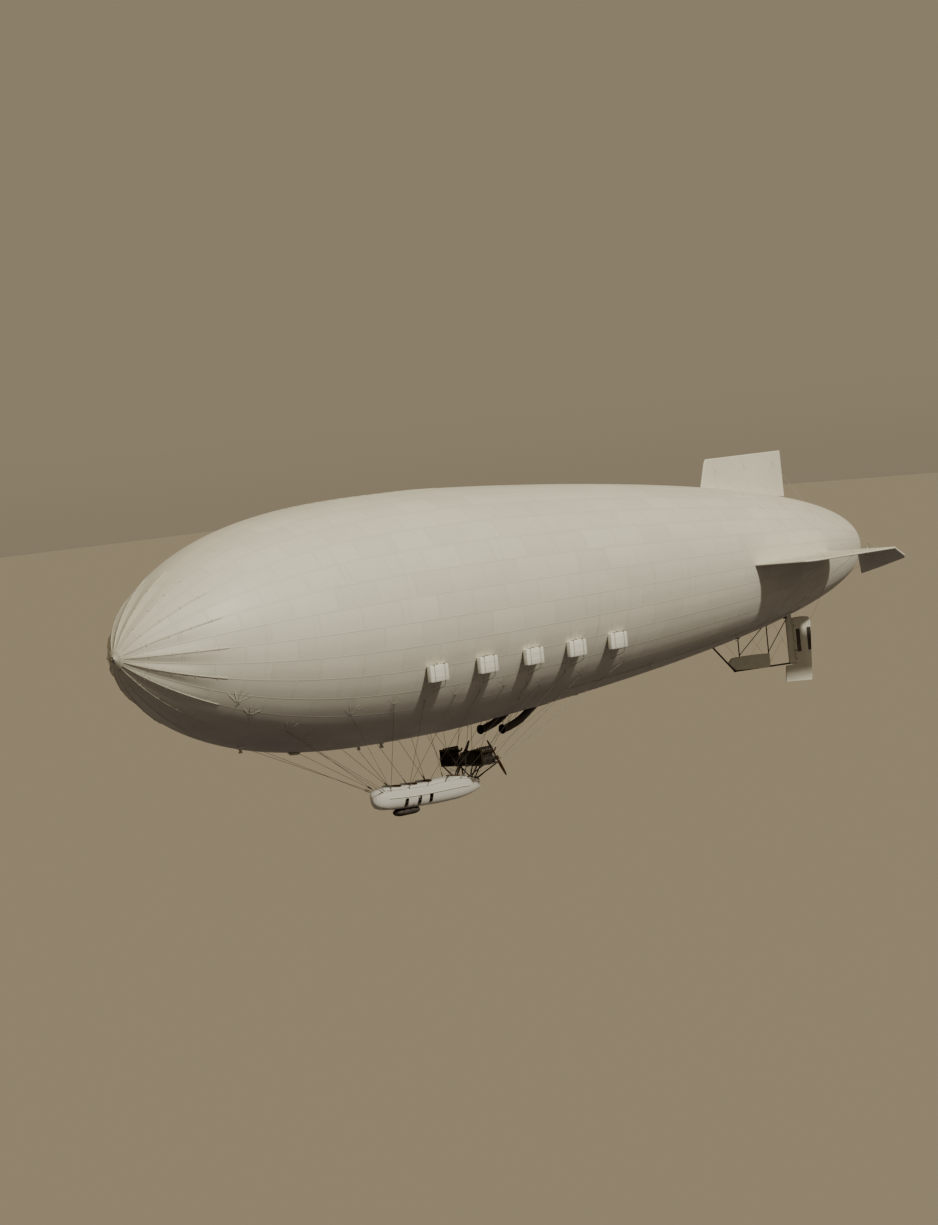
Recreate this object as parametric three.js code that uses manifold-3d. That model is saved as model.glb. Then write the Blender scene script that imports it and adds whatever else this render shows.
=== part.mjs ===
// A two-engined non-rigid airship of the early 1920s, as a 1:2 scale model.
// Its gas envelope carries fins, fuel tanks and air scoops, and an open car hangs below it on stays.
// Sizes are written as real metres on the full-size airship. A station is the distance aft of the nose,
// y is to port and z is up from the envelope's axis. place() turns them into model millimetres.
// The model's frame has +X to the nose, +Y to port and +Z up, with its origin at the centre of buoyancy.

import * as THREE from 'three';
import { mergeVertices } from 'three/addons/utils/BufferGeometryUtils.js';
import Module from 'manifold-3d';

const wasm = await Module();
wasm.setup();

// Driving dimensions: scale and envelope
const MM = 500; // model millimetres for one real metre, which is 1:2
const LENGTH = 60.35;
const RADIUS = 6.40;
const BUOYANCY_STATION = 26.8;
const WIDEST = 0.36; // where the envelope is widest, as a share of its length
const NOSE_POWERS = [3.5, 0.74];
const TAIL_POWERS = [1.25, 0.41];
const WALL = 10; // envelope wall in model millimetres
const GAP = 0.4; // clearance between touching pieces in model millimetres
const AROUND = 48;
const ALONG = 24;

// Driving dimensions: tail surfaces
const FIN_THICK = 0.12;
const FIN_REAR = 54.30;
const HINGE_STATION = 53.60;
const HINGE_GAP = 0.025;
const FIN_TOP = 6.10;
const STABILISER_TIP = 8.10;
const ELEVATOR_CHORD = 3.03; // at its inner end
const ELEVATOR_TIP_CHORD = 1.36;
const ELEVATOR_DROOP = 30; // degrees down at rest
const ELEVATOR_ROOT = 5.40; // inner end at the hinge
const ELEVATOR_HEEL = 3.75; // inner end at the trailing edge
const RUDDER_HINGE = 53.94;
const LOWER_RAIL = -6.42;
const LUG_THICK = 0.014;
const LUG_SLOT = 0.060;
const LUG_EYE = 0.028; // radius of the round end about the pin
const LUG_ROOT = 0.20; // how far a lug reaches into its fin
const PIN_RADIUS = 0.012;
const PIN_CLEARANCE = 0.004;
const SLOT_REAR = 0.09; // how far a slot is cut behind the hinge line
const HORN = { half: 0.38, radius: 0.02 }; // the small lever that a control cable pulls

// Driving dimensions: tanks, scoops and car
const TANK = { first: 15.46, pitch: 3.72, count: 5, length: 1.36, height: 0.86, depth: 0.28, top: -2.30 };
const SCOOP = { y: 0.78, mouth: 26.50, z: -6.82, radius: 0.20, wall: 0.02 };
const CAR_WALL = 0.03;
const DECK_THICK = 0.03;
const FLOOR_Z = -9.72;
const ENGINE = { front: 24.02, rear: 25.06, y: 1.20, axis: -8.20 };
const RADIATOR = { front: 23.86, rear: 23.96 };
const BEARER_Z = -8.42;
const SHAFT_RADIUS = 0.030;
const PROPELLER = { station: 25.36, radius: 1.10, hub: 0.09, bore: SHAFT_RADIUS + 0.007, lean: 31 };

const colours = {
  fabric: [0xd6d2bd, 0.72, 0.0],
  surface: [0xcfcab5, 0.75, 0.0],
  paint: [0xdcdacb, 0.45, 0.1],
  tube: [0x4a443e, 0.5, 0.6],
  engine: [0x3b3733, 0.45, 0.7],
  copper: [0x5a4234, 0.4, 0.7],
  wood: [0x5a3d26, 0.4, 0.0],
  leather: [0x4b382b, 0.6, 0.0],
  rubber: [0x38332f, 0.8, 0.0],
  canvas: [0x3d3731, 0.85, 0.0],
  glass: [0xb9c4c0, 0.1, 0.0],
  cable: [0x6b665e, 0.4, 0.8],
};

const airship = new THREE.Group();

// Small helpers for solids

function place(station, y, z) {
  return new THREE.Vector3((BUOYANCY_STATION - station) * MM, y * MM, z * MM);
}

function solid(geometry) {
  const bare = geometry.index ? geometry.toNonIndexed() : geometry.clone();
  for (const name of Object.keys(bare.attributes)) {
    if (name !== 'position') bare.deleteAttribute(name);
  }
  const merged = mergeVertices(bare, 1e-3);
  const index = merged.index.array;
  const triangles = [];
  for (let i = 0; i < index.length; i += 3) {
    const [a, b, c] = [index[i], index[i + 1], index[i + 2]];
    if (a !== b && b !== c && c !== a) triangles.push(a, b, c);
  }
  const vertProperties = new Float32Array(merged.attributes.position.array);
  const triVerts = new Uint32Array(triangles);
  return new wasm.Manifold(new wasm.Mesh({ numProp: 3, vertProperties, triVerts }));
}

function joined(solids) {
  return solids.reduce((sum, next) => sum.add(next));
}

function add(name, manifold, colour) {
  const mesh = manifold.getMesh();
  const geometry = new THREE.BufferGeometry();
  geometry.setAttribute('position', new THREE.BufferAttribute(new Float32Array(mesh.vertProperties), 3));
  geometry.setIndex(new THREE.BufferAttribute(new Uint32Array(mesh.triVerts), 1));
  geometry.computeVertexNormals();
  const [color, roughness, metalness] = colours[colour];
  const node = new THREE.Mesh(geometry, new THREE.MeshStandardMaterial({ color, roughness, metalness }));
  node.name = name;
  airship.add(node);
  return node;
}

// A box between two corners given as real station, y and z.
function box(low, high) {
  const a = place(...low);
  const b = place(...high);
  const size = new THREE.Vector3().subVectors(b, a);
  const geometry = new THREE.BoxGeometry(Math.abs(size.x), Math.abs(size.y), Math.abs(size.z));
  const centre = a.add(b).multiplyScalar(0.5);
  geometry.translate(centre.x, centre.y, centre.z);
  return solid(geometry);
}

// A round rod from one real point to another, with an optional second radius at its far end.
function rod(from, to, radius, sides = 6, farRadius = radius) {
  const a = place(...from);
  const b = place(...to);
  const way = new THREE.Vector3().subVectors(b, a);
  const geometry = new THREE.CylinderGeometry(farRadius * MM, radius * MM, way.length(), sides);
  const turn = new THREE.Quaternion().setFromUnitVectors(new THREE.Vector3(0, 1, 0), way.clone().normalize());
  geometry.applyQuaternion(turn);
  const centre = a.add(b).multiplyScalar(0.5);
  geometry.translate(centre.x, centre.y, centre.z);
  return solid(geometry);
}

// A closed skin through rings of equal point counts, with flat ends.
function loft(rings) {
  const count = rings[0].length;
  const corners = rings.flat().concat([middleOf(rings[0]), middleOf(rings.at(-1))]);
  const first = rings.length * count;
  const index = [];
  for (let r = 0; r + 1 < rings.length; r += 1) {
    for (let i = 0; i < count; i += 1) {
      const j = (i + 1) % count;
      const [a, b, c, d] = [r * count + i, r * count + j, (r + 1) * count + i, (r + 1) * count + j];
      index.push(a, b, d, a, d, c);
    }
  }
  const last = (rings.length - 1) * count;
  for (let i = 0; i < count; i += 1) {
    const j = (i + 1) % count;
    index.push(first, j, i, first + 1, last + i, last + j);
  }
  const geometry = new THREE.BufferGeometry().setFromPoints(corners);
  geometry.setIndex(index);
  const body = solid(geometry);
  if (body.volume() > 0) return body;
  for (let i = 0; i < index.length; i += 3) [index[i], index[i + 1]] = [index[i + 1], index[i]];
  geometry.setIndex(index);
  return solid(geometry);
}

function middleOf(points) {
  const sum = points.reduce((total, point) => total.add(point), new THREE.Vector3());
  return sum.multiplyScalar(1 / points.length);
}

// A flat plate with chamfered edges: outline in real (station, height) points, standing in the middle plane.
function plate(outline, thick) {
  const bevel = thick * 0.3 * MM;
  const corners = outline.map(([s, h]) => new THREE.Vector2((BUOYANCY_STATION - s) * MM, h * MM));
  const shape = new THREE.Shape(corners);
  const geometry = new THREE.ExtrudeGeometry(shape, {
    depth: thick * MM - 2 * bevel,
    bevelEnabled: true,
    bevelThickness: bevel,
    bevelSize: bevel,
    bevelOffset: -bevel,
    bevelSegments: 1,
  });
  geometry.translate(0, 0, bevel - thick * MM / 2);
  geometry.rotateX(Math.PI / 2); // the outline's second axis now points up
  return solid(geometry);
}

// The same plate laid flat, its second axis pointing to port, then moved up to height z.
function flatPlate(outline, thick, z = 0) {
  return plate(outline, thick).rotate([-90, 0, 0]).translate([0, 0, z * MM]);
}

// Envelope

function radiusAt(station) {
  const share = Math.min(Math.max(station / LENGTH, 0), 1);
  if (share < WIDEST) {
    const t = (WIDEST - share) / WIDEST;
    return RADIUS * (1 - t ** NOSE_POWERS[0]) ** NOSE_POWERS[1];
  }
  const t = (share - WIDEST) / (1 - WIDEST);
  return RADIUS * Math.max(1 - t ** TAIL_POWERS[0], 0) ** TAIL_POWERS[1];
}

// Profile points as model (radius, distance aft of the nose), closer together towards both ends.
function profile(offset) {
  const bare = [];
  for (let i = 0; i <= ALONG; i += 1) {
    const station = LENGTH * (1 - Math.cos((Math.PI * i) / ALONG)) / 2;
    bare.push(new THREE.Vector2(radiusAt(station) * MM, station * MM));
  }
  bare[0].x = 0;
  bare[ALONG].x = 0;
  return bare.map((point, i) => {
    const ahead = bare[Math.max(i - 1, 0)];
    const behind = bare[Math.min(i + 1, ALONG)];
    const along = new THREE.Vector2().subVectors(behind, ahead).normalize();
    if (i === 0) return new THREE.Vector2(0, point.y - offset);
    if (i === ALONG) return new THREE.Vector2(0, point.y + offset);
    return new THREE.Vector2(point.x + along.y * offset, point.y - along.x * offset);
  });
}

function hull(offset) {
  const geometry = new THREE.LatheGeometry(profile(offset), AROUND);
  geometry.rotateZ(Math.PI / 2); // the lathe's axis now points from nose to tail along -X
  geometry.translate(BUOYANCY_STATION * MM, 0, 0);
  const body = solid(geometry);
  if (body.volume() > 0) return body;
  geometry.scale(1, 1, -1);
  return solid(geometry);
}

const hullSpace = hull(GAP);

const SCOOP_RISE = [
  // distance aft of the mouth, height above it
  [0, 0],
  [0.12, 0],
  [0.50, 0.05],
  [1.42, 0.29],
  [2.34, 0.72],
  [3.60, 1.40],
];
const scoopPath = (side) => SCOOP_RISE.map(([aft, rise]) => (
  [SCOOP.mouth + aft, side * SCOOP.y, SCOOP.z + rise]));

// A round pipe along a path that keeps one y, as wide at each point as its radius says.
function pipe(points, radii, sides = 12) {
  const last = points.length - 1;
  return loft(points.map(([station, y, z], i) => {
    const [ahead, behind] = [points[Math.max(i - 1, 0)], points[Math.min(i + 1, last)]];
    const slope = Math.atan2(behind[2] - ahead[2], behind[0] - ahead[0]);
    return Array.from({ length: sides }, (_, k) => {
      const turn = (2 * Math.PI * (k + 0.5)) / sides;
      const up = radii[i] * Math.sin(turn);
      return place(station - up * Math.sin(slope), y + radii[i] * Math.cos(turn), z + up * Math.cos(slope));
    });
  }));
}

// Scoop sizes along its path: a flared lip, then one bore
const flare = (clearance, lip) => [lip, ...Array(SCOOP_RISE.length - 1).fill(SCOOP.radius - clearance)];
const scoopBore = (side) => pipe(scoopPath(side), flare(SCOOP.wall, SCOOP.radius + 0.035));
const ductHoles = joined([1, -1].map(scoopBore));
add('envelope', hull(0).subtract(hull(-WALL)).subtract(ductHoles), 'fabric');

// Nose cap with battens laid back over the nose
const BATTENS = { count: 16, rings: 5, start: 0.7, width: 0.075, thick: 0.04 };
const CAP = { lift: 0.03, spindle: 0.07, flange: 0.13 };
const capStations = [0, 0.06, 0.15];

// The battens keep to the envelope's own profile points, so that they lie on its facets.
function batten(angle) {
  const [low, high] = [profile(GAP), profile(BATTENS.thick * MM)].map((line) => (
    [line[0].clone().lerp(line[1], BATTENS.start), ...line.slice(1, BATTENS.rings)]));
  const half = BATTENS.width * MM / 2;
  const corner = (point, across) => new THREE.Vector3(
    BUOYANCY_STATION * MM - point.y,
    point.x * Math.cos(angle) - across * Math.sin(angle),
    point.x * Math.sin(angle) + across * Math.cos(angle),
  );
  return loft(low.map((under, i) => [
    corner(under, -half),
    corner(under, half),
    corner(high[i], half),
    corner(high[i], -half),
  ]));
}

function noseCap() {
  const [tip, rim] = profile(GAP);
  const outerRim = profile(CAP.lift * MM)[1];
  const outside = capStations.map((station) => (
    new THREE.Vector2(radiusAt(station) * MM * 1.1, (station - CAP.lift) * MM)));
  outside[0].x = 0;
  const geometry = new THREE.LatheGeometry([...outside, outerRim, rim, tip], AROUND / 2);
  geometry.rotateZ(Math.PI / 2);
  geometry.translate(BUOYANCY_STATION * MM, 0, 0);
  let cap = solid(geometry);
  if (cap.volume() < 0) cap = solid(geometry.scale(1, 1, -1));
  const spindle = rod([-CAP.lift + 0.01, 0, 0], [-0.24, 0, 0], CAP.spindle, 12);
  const flange = rod([-0.12, 0, 0], [-0.17, 0, 0], CAP.flange, 12);
  return joined([cap, spindle, flange]);
}

const battens = Array.from({ length: BATTENS.count }, (_, i) => batten((2 * Math.PI * i) / BATTENS.count));
add('nose_cap', joined([noseCap(), ...battens]).subtract(hullSpace), 'surface');

// Fixed tail surfaces
const upperOutline = [
  // station, z
  [46.35, 4.2],
  [46.95, FIN_TOP - 0.25],
  [47.15, FIN_TOP],
  [FIN_REAR - 0.05, FIN_TOP],
  [FIN_REAR, 2.9],
];
add('upper_fin', plate(upperOutline, FIN_THICK).subtract(hullSpace), 'surface');

const LUGS = [5.6, 6.6, 7.6]; // elevator hinge lugs, by their distance from the middle plane
const trailing = HINGE_STATION - FIN_THICK / 2 - HINGE_GAP;

// A rod along the elevator's hinge line, centred on y and reaching a half width to both sides
function hingeRod(y, half, radius, sides = 12) {
  return rod([HINGE_STATION, y - half, 0], [HINGE_STATION, y + half, 0], radius, sides);
}

function stabiliser(side) {
  const outline = [
    // station, distance from the middle plane
    [44.72, 4.0],
    [44.72, 4.78],
    [45.50, STABILISER_TIP - 0.45],
    [46.10, STABILISER_TIP],
    [trailing, STABILISER_TIP],
    [trailing, 2.8],
  ];
  const blade = flatPlate(outline.map(([s, y]) => [s, side * y]), FIN_THICK);
  const half = LUG_THICK / 2;
  const lugs = LUGS.map((y) => joined([
    box([trailing - LUG_ROOT, side * y - half, -LUG_EYE], [HINGE_STATION, side * y + half, LUG_EYE]),
    hingeRod(side * y, half, LUG_EYE),
  ]));
  const holes = LUGS.map((y) => hingeRod(side * y, LUG_SLOT, PIN_RADIUS + PIN_CLEARANCE));
  return joined([blade, ...lugs]).subtract(joined(holes)).subtract(hullSpace);
}

// Elevator, built level and then drooped about its hinge
function elevator(side) {
  const rear = HINGE_STATION + ELEVATOR_CHORD;
  const tip = HINGE_STATION + ELEVATOR_TIP_CHORD;
  const outline = [
    // station, distance from the middle plane
    [HINGE_STATION, ELEVATOR_ROOT],
    [HINGE_STATION, STABILISER_TIP],
    [tip - 0.35, STABILISER_TIP],
    [tip, STABILISER_TIP - 0.35],
    [rear, ELEVATOR_HEEL],
  ];
  const blade = flatPlate(outline.map(([s, y]) => [s, side * y]), FIN_THICK);
  const middle = side * (ELEVATOR_ROOT + STABILISER_TIP) / 2;
  const tube = hingeRod(middle, (STABILISER_TIP - ELEVATOR_ROOT) / 2, FIN_THICK / 2, 16);
  const slots = LUGS.map((y) => box(
    [HINGE_STATION - LUG_ROOT, side * y - LUG_SLOT / 2, -FIN_THICK],
    [HINGE_STATION + SLOT_REAR, side * y + LUG_SLOT / 2, FIN_THICK],
  ));
  const pins = LUGS.map((y) => hingeRod(side * y, LUG_SLOT, PIN_RADIUS));
  const hornY = side * 6.1;
  const horn = rod([HINGE_STATION, hornY, -HORN.half], [HINGE_STATION, hornY, HORN.half], HORN.radius);
  const level = joined([blade, tube]).subtract(joined(slots)).add(joined([...pins, horn]));
  const hinge = place(HINGE_STATION, 0, 0);
  return level.translate([-hinge.x, 0, 0]).rotate([0, -ELEVATOR_DROOP, 0]).translate([hinge.x, 0, 0]);
}

for (const [label, side] of [['port', 1], ['starboard', -1]]) {
  add(`${label}_stabiliser`, stabiliser(side), 'surface');
  add(`${label}_elevator`, elevator(side), 'surface');
}

// Lower fin: an open tube frame with one covered strip, and the post that carries the rudder
const postFront = RUDDER_HINGE - 0.62;
const postRear = RUDDER_HINGE - FIN_THICK / 2 - HINGE_GAP;
const postTop = -3.2; // inside the envelope, where it is cut off
const stripOutline = [
  // station, z
  [47.75, -5.97],
  [47.45, -5.73],
  [47.85, -5.47],
  [51.45, -5.60],
  [51.45, LOWER_RAIL + 0.05],
  [48.05, LOWER_RAIL + 0.20],
];
const frameTubes = [
  // from, to, radius
  [[45.8, 0, -4.34], [48.05, 0, LOWER_RAIL + 0.16], 0.045],
  [[48.05, 0, LOWER_RAIL + 0.16], [postRear - 0.1, 0, LOWER_RAIL], 0.045],
  [[51.4, 0, LOWER_RAIL + 0.1], [51.4, 0, -3.6], 0.03],
  [[48.6, 0, LOWER_RAIL + 0.5], [48.6, 0, -4.1], 0.03],
  [[48.6, 0, -5.4], [51.4, 0, -3.7], 0.02],
  [[51.4, 0, -5.5], [53.6, 0, -3.6], 0.02],
];
const RUDDER_LUGS = [-4.25, -5.2, -6.2];

// A rod along the rudder's hinge line, centred on z and reaching a half length up and down
function rudderRod(z, half, radius, sides = 12) {
  return rod([RUDDER_HINGE, 0, z - half], [RUDDER_HINGE, 0, z + half], radius, sides);
}

const post = plate([
  // station, z
  [postFront, postTop],
  [postRear, postTop],
  [postRear, LOWER_RAIL],
  [postFront, LOWER_RAIL],
], FIN_THICK);
const rudderLugs = RUDDER_LUGS.map((z) => joined([
  box([postRear - LUG_ROOT, -LUG_EYE, z - LUG_THICK / 2], [RUDDER_HINGE, LUG_EYE, z + LUG_THICK / 2]),
  rudderRod(z, LUG_THICK / 2, LUG_EYE),
]));
const rudderHoles = RUDDER_LUGS.map((z) => rudderRod(z, LUG_SLOT, PIN_RADIUS + PIN_CLEARANCE));
const tubes = frameTubes.map(([from, to, radius]) => rod(from, to, radius));
const lowerFrame = joined([plate(stripOutline, FIN_THICK), post, ...rudderLugs, ...tubes]);
add('lower_fin', lowerFrame.subtract(joined(rudderHoles)).subtract(hullSpace), 'surface');

// Rudder: a tall blade behind the post and a wider balanced foot below the fin
const FOOT_TOP = LOWER_RAIL - 0.10;
const RUDDER_REAR = RUDDER_HINGE + 1.78;
const RUDDER_TOP = -3.78;
const rudderBlade = plate([
  // station, z
  [RUDDER_HINGE, RUDDER_TOP],
  [RUDDER_REAR, -4.05],
  [RUDDER_REAR - 0.33, -7.62],
  [RUDDER_HINGE - 1.1, -7.44],
  [RUDDER_HINGE - 0.95, FOOT_TOP],
  [RUDDER_HINGE, FOOT_TOP],
], FIN_THICK);
const tubeLength = RUDDER_TOP - FOOT_TOP;
const rudderTube = rudderRod(FOOT_TOP + tubeLength / 2 - 0.05, tubeLength / 2, FIN_THICK / 2, 16);
const rudderSlots = RUDDER_LUGS.map((z) => box(
  [RUDDER_HINGE - LUG_ROOT, -FIN_THICK, z - LUG_SLOT / 2],
  [RUDDER_HINGE + SLOT_REAR, FIN_THICK, z + LUG_SLOT / 2],
));
const rudderPins = RUDDER_LUGS.map((z) => rudderRod(z, LUG_SLOT, PIN_RADIUS));
const rudderHorn = rod([RUDDER_HINGE, -HORN.half, -5.7], [RUDDER_HINGE, HORN.half, -5.7], HORN.radius);
const slotted = joined([rudderBlade, rudderTube]).subtract(joined(rudderSlots));
add('rudder', slotted.add(joined([...rudderPins, rudderHorn])), 'surface');

// Fuel tanks hung flat against both sides of the envelope
function tank(station, side) {
  const topRadius = Math.min(radiusAt(station), radiusAt(station + TANK.length));
  const inner = Math.sqrt(topRadius ** 2 - TANK.top ** 2) + 0.012;
  const [bottom, top, outer] = [TANK.top - TANK.height, TANK.top, inner + TANK.depth];
  const corner = 0.06;
  const section = [
    // y, z
    [inner, top],
    [outer - corner, top],
    [outer, top - corner],
    [outer, bottom + corner],
    [outer - corner, bottom],
    [inner + corner, bottom],
    [inner, bottom + corner],
  ];
  const ring = (s, shrink) => section.map(([y, z]) => {
    const middle = [(inner + outer) / 2, (top + bottom) / 2];
    return place(s, side * (middle[0] + (y - middle[0]) * shrink), middle[1] + (z - middle[1]) * shrink);
  });
  const ends = [
    // distance from the front end, share of the full section
    [0, 0.86],
    [0.05, 1],
    [TANK.length - 0.05, 1],
    [TANK.length, 0.86],
  ];
  return loft(ends.map(([distance, share]) => ring(station + distance, share)));
}

for (const [label, side] of [['port', 1], ['starboard', -1]]) {
  for (let i = 0; i < TANK.count; i += 1) {
    add(`${label}_tank_${i + 1}`, tank(TANK.first + i * TANK.pitch, side).subtract(hullSpace), 'paint');
  }
}

// Air scoops that feed the ballonets from behind the propellers
for (const [label, side] of [['port', 1], ['starboard', -1]]) {
  const outer = pipe(scoopPath(side), flare(0, SCOOP.radius + 0.055));
  add(`${label}_air_scoop`, outer.subtract(scoopBore(side)).subtract(hullSpace), 'canvas');
}

// Car
const carStations = [
  // station, half width, gunwale z, keel z
  [16.84, 0.10, -9.22, -9.40],
  [16.92, 0.26, -9.08, -9.56],
  [17.15, 0.46, -8.92, -9.74],
  [17.60, 0.62, -8.84, -9.88],
  [18.80, 0.70, -8.90, -9.98],
  [20.30, 0.72, -8.95, -10.04],
  [21.80, 0.70, -8.93, -10.08],
  [23.00, 0.62, -8.96, -10.07],
  [24.10, 0.44, -9.12, -9.96],
  [24.98, 0.20, -9.32, -9.78],
];
const CROWN = 0.13;
const UNDER = [0, 0.28, 0.56, 0.80, 1]; // shares of a quarter turn from gunwale to keel

function carRing([station, half, gunwale, keel], inset, top) {
  const points = [];
  const sides = (share, sign) => {
    const turn = share * Math.PI / 2;
    const y = sign * (half - inset) * Math.cos(turn) ** 0.55;
    const z = gunwale - (gunwale - keel - inset) * Math.sin(turn) ** 0.85;
    return place(station, y, z);
  };
  for (const share of UNDER) points.push(sides(share, 1));
  for (const share of UNDER.slice(0, -1).reverse()) points.push(sides(share, -1));
  for (const across of [-0.5, 0, 0.5]) {
    const height = top * (1 - across * across * 1.6);
    points.push(place(station, across * 2 * (half - inset) * 0.8, gunwale + height));
  }
  return points;
}

const endInset = (i, inset) => {
  if (i === 0) return inset;
  return i === carStations.length - 1 ? -inset : 0;
};
const carSolid = (inset, crown) => loft(carStations.map(([station, ...rest], i) => (
  carRing([station + endInset(i, inset), ...rest], inset, crown))));
const carOuter = carSolid(0, CROWN);
const carInner = carSolid(CAR_WALL, CROWN - DECK_THICK);
const carSpace = carSolid(-GAP / MM, CROWN + GAP / MM);

const cockpits = [
  // front station, rear station, half width
  [17.95, 18.85, 0.42],
  [19.28, 20.04, 0.42],
  [20.42, 21.16, 0.42],
  [22.80, 23.48, 0.34],
];
const CLEAR = 0.05; // how far cutting tools run past the skin
const ovalHole = ([front, rear, half]) => {
  const geometry = new THREE.CylinderGeometry(MM, MM, 0.9 * MM, 20);
  geometry.rotateX(Math.PI / 2);
  geometry.scale((rear - front) / 2, half, 1);
  const centre = place((front + rear) / 2, 0, -8.95);
  geometry.translate(centre.x, centre.y, centre.z);
  return solid(geometry);
};
const holes = joined(cockpits.map(ovalHole));
const steps = [18.62, 19.60, 20.48];
const STEP = { length: 0.24, bottom: -9.86, top: -9.44 };
const stepHoles = joined(steps.map((s) => box([s, -1, STEP.bottom], [s + STEP.length, 1, STEP.top])));

// The shell stops at the gunwale, where the crowned deck begins.
const ABOVE_TOP = -8; // a height above the whole car
const above = (drop) => loft(carStations.map(([station, , gunwale], i) => {
  const end = station + endInset(i, -CLEAR);
  const [low, high] = [gunwale - drop, ABOVE_TOP];
  return [[-1, low], [1, low], [1, high], [-1, high]].map(([y, z]) => place(end, y, z));
}));
const skin = carOuter.subtract(carInner);
add('car_hull', skin.subtract(above(GAP / MM)).subtract(stepHoles), 'paint');

// The deck is in panels around the cockpit holes, each nearly convex, so that
// collision leaves the holes open.
const PANEL_SHARE = 0.74; // of a hole's half length, from its middle to a joint between panels
const SIDE_PANEL = 0.25; // half the width of the panels between the holes
const SEAM = GAP / MM;
const deck = skin.intersect(above(0)).subtract(holes);
const panelEnds = cockpits.map(([front, rear]) => {
  const middle = (front + rear) / 2;
  const reach = PANEL_SHARE * (rear - front) / 2;
  return [middle - reach, middle + reach];
});
const acrossDeck = (from, to, half) => deck.intersect(box([from, -half, -9.60], [to, half, ABOVE_TOP]));
const firstEnd = panelEnds[0][0];
const lastEnd = panelEnds[panelEnds.length - 1][1];
add('fore_deck', acrossDeck(16, firstEnd - SEAM, 1), 'paint');
add('aft_deck', acrossDeck(lastEnd + SEAM, 26, 1), 'paint');
for (let i = 1; i < panelEnds.length; i += 1) {
  add(`deck_panel_${i}`, acrossDeck(panelEnds[i - 1][1], panelEnds[i][0], SIDE_PANEL), 'paint');
}
for (const [label, side] of [['port', 1], ['starboard', -1]]) {
  const [low, high] = [SIDE_PANEL + SEAM, 1].map((y) => y * side).sort((a, b) => a - b);
  add(`${label}_deck_side`, deck.intersect(box([firstEnd, low, -9.60], [lastEnd, high, ABOVE_TOP])), 'paint');
}

const floorBoard = box([17.2, -0.36, FLOOR_Z - 0.03], [23.6, 0.36, FLOOR_Z]);
add('car_floor', floorBoard.intersect(carSolid(CAR_WALL + GAP / MM, 0)), 'wood');

const SEAT = { half: 0.24, cushion: 0.26, back: 0.62, length: 0.41, backThick: 0.10 };

function seat(rear) {
  const low = FLOOR_Z + GAP / MM;
  return joined([
    box([rear - SEAT.length, -SEAT.half, low], [rear, SEAT.half, FLOOR_Z + SEAT.cushion]),
    box([rear - SEAT.backThick, -SEAT.half, low], [rear, SEAT.half, FLOOR_Z + SEAT.back]),
  ]);
}

// A raked pane whose foot is cut to the deck behind it
function windscreen(foot, z) {
  const section = [[0, 0], [0.06, 0], [0.16, 0.24], [0.14, 0.24]];
  const points = section.map(([s, up]) => {
    const at = place(foot + s, 0, z + up);
    return new THREE.Vector2(at.x, at.z);
  });
  const half = 0.28 * MM;
  const shape = new THREE.Shape(points);
  const geometry = new THREE.ExtrudeGeometry(shape, { depth: 2 * half, bevelEnabled: false });
  geometry.rotateX(Math.PI / 2);
  geometry.translate(0, half, 0);
  return solid(geometry).subtract(carSpace);
}

cockpits.forEach(([, rear], i) => add(`seat_${i + 1}`, seat(rear - 0.03), 'leather'));
const screenFeet = [
  // station, z before the foot is cut
  [17.79, -8.87],
  [19.12, -8.94],
  [20.26, -8.94],
];
screenFeet.forEach(([foot, z], i) => add(`windscreen_${i + 1}`, windscreen(foot, z), 'glass'));

// Bumper bag under the car, which takes the landing load
const BAG = { z: -10.16, sides: 12 };
const bagRings = [
  // station, half width, half height
  [18.35, 0.16, 0.10],
  [18.50, 0.30, 0.17],
  [18.80, 0.36, 0.21],
  [19.75, 0.36, 0.21],
  [20.05, 0.30, 0.17],
  [20.20, 0.16, 0.10],
];
const bag = loft(bagRings.map(([s, half, halfHeight]) => Array.from({ length: BAG.sides }, (_, i) => {
  const turn = (2 * Math.PI * i) / BAG.sides;
  return place(s, half * Math.cos(turn), BAG.z + halfHeight * Math.sin(turn));
})));
add('bumper_bag', bag.subtract(carSpace), 'rubber');

// Engine mount: bearers on cross tubes, with legs down to the car
const BEARER_RADIUS = 0.04;
const LEG_RADIUS = 0.03;
const BEARER_ENDS = [23.80, 25.16];
const crossStations = [23.95, 24.50, 25.12];
const bearerSides = [0.30, ENGINE.y - 0.17, ENGINE.y + 0.17];
const legs = [
  // upper station, y; lower station, y, z
  [23.95, 1.45, 23.75, 0.50, -9.30],
  [25.12, 1.45, 24.75, 0.20, -9.45],
  [23.95, 0.30, 23.60, 0.30, -9.15],
  [25.12, 0.30, 24.65, 0.18, -9.35],
  [24.50, 0.60, 24.25, 0.30, -9.25],
];
const mountRods = crossStations.map((s) => rod([s, -1.50, BEARER_Z], [s, 1.50, BEARER_Z], BEARER_RADIUS));
for (const side of [1, -1]) {
  for (const y of bearerSides) {
    const [front, rear] = BEARER_ENDS.map((s) => [s, side * y, BEARER_Z]);
    mountRods.push(rod(front, rear, BEARER_RADIUS));
  }
  for (const [upper, out, lower, y, z] of legs) {
    mountRods.push(rod([upper, side * out, BEARER_Z], [lower, side * y, z], LEG_RADIUS));
  }
}
add('engine_mount', joined(mountRods).subtract(carSpace), 'tube');

// Engines with six upright cylinders in line, their shafts pointing aft
const CYLINDERS = { count: 6, radius: 0.07, top: -7.56, inset: 0.10 };
const EXHAUST = { out: 0.16, z: -7.78 };
const INTAKE = { out: 0.15, z: -7.80 };
const bearerTop = BEARER_Z + BEARER_RADIUS + GAP / MM;

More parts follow.
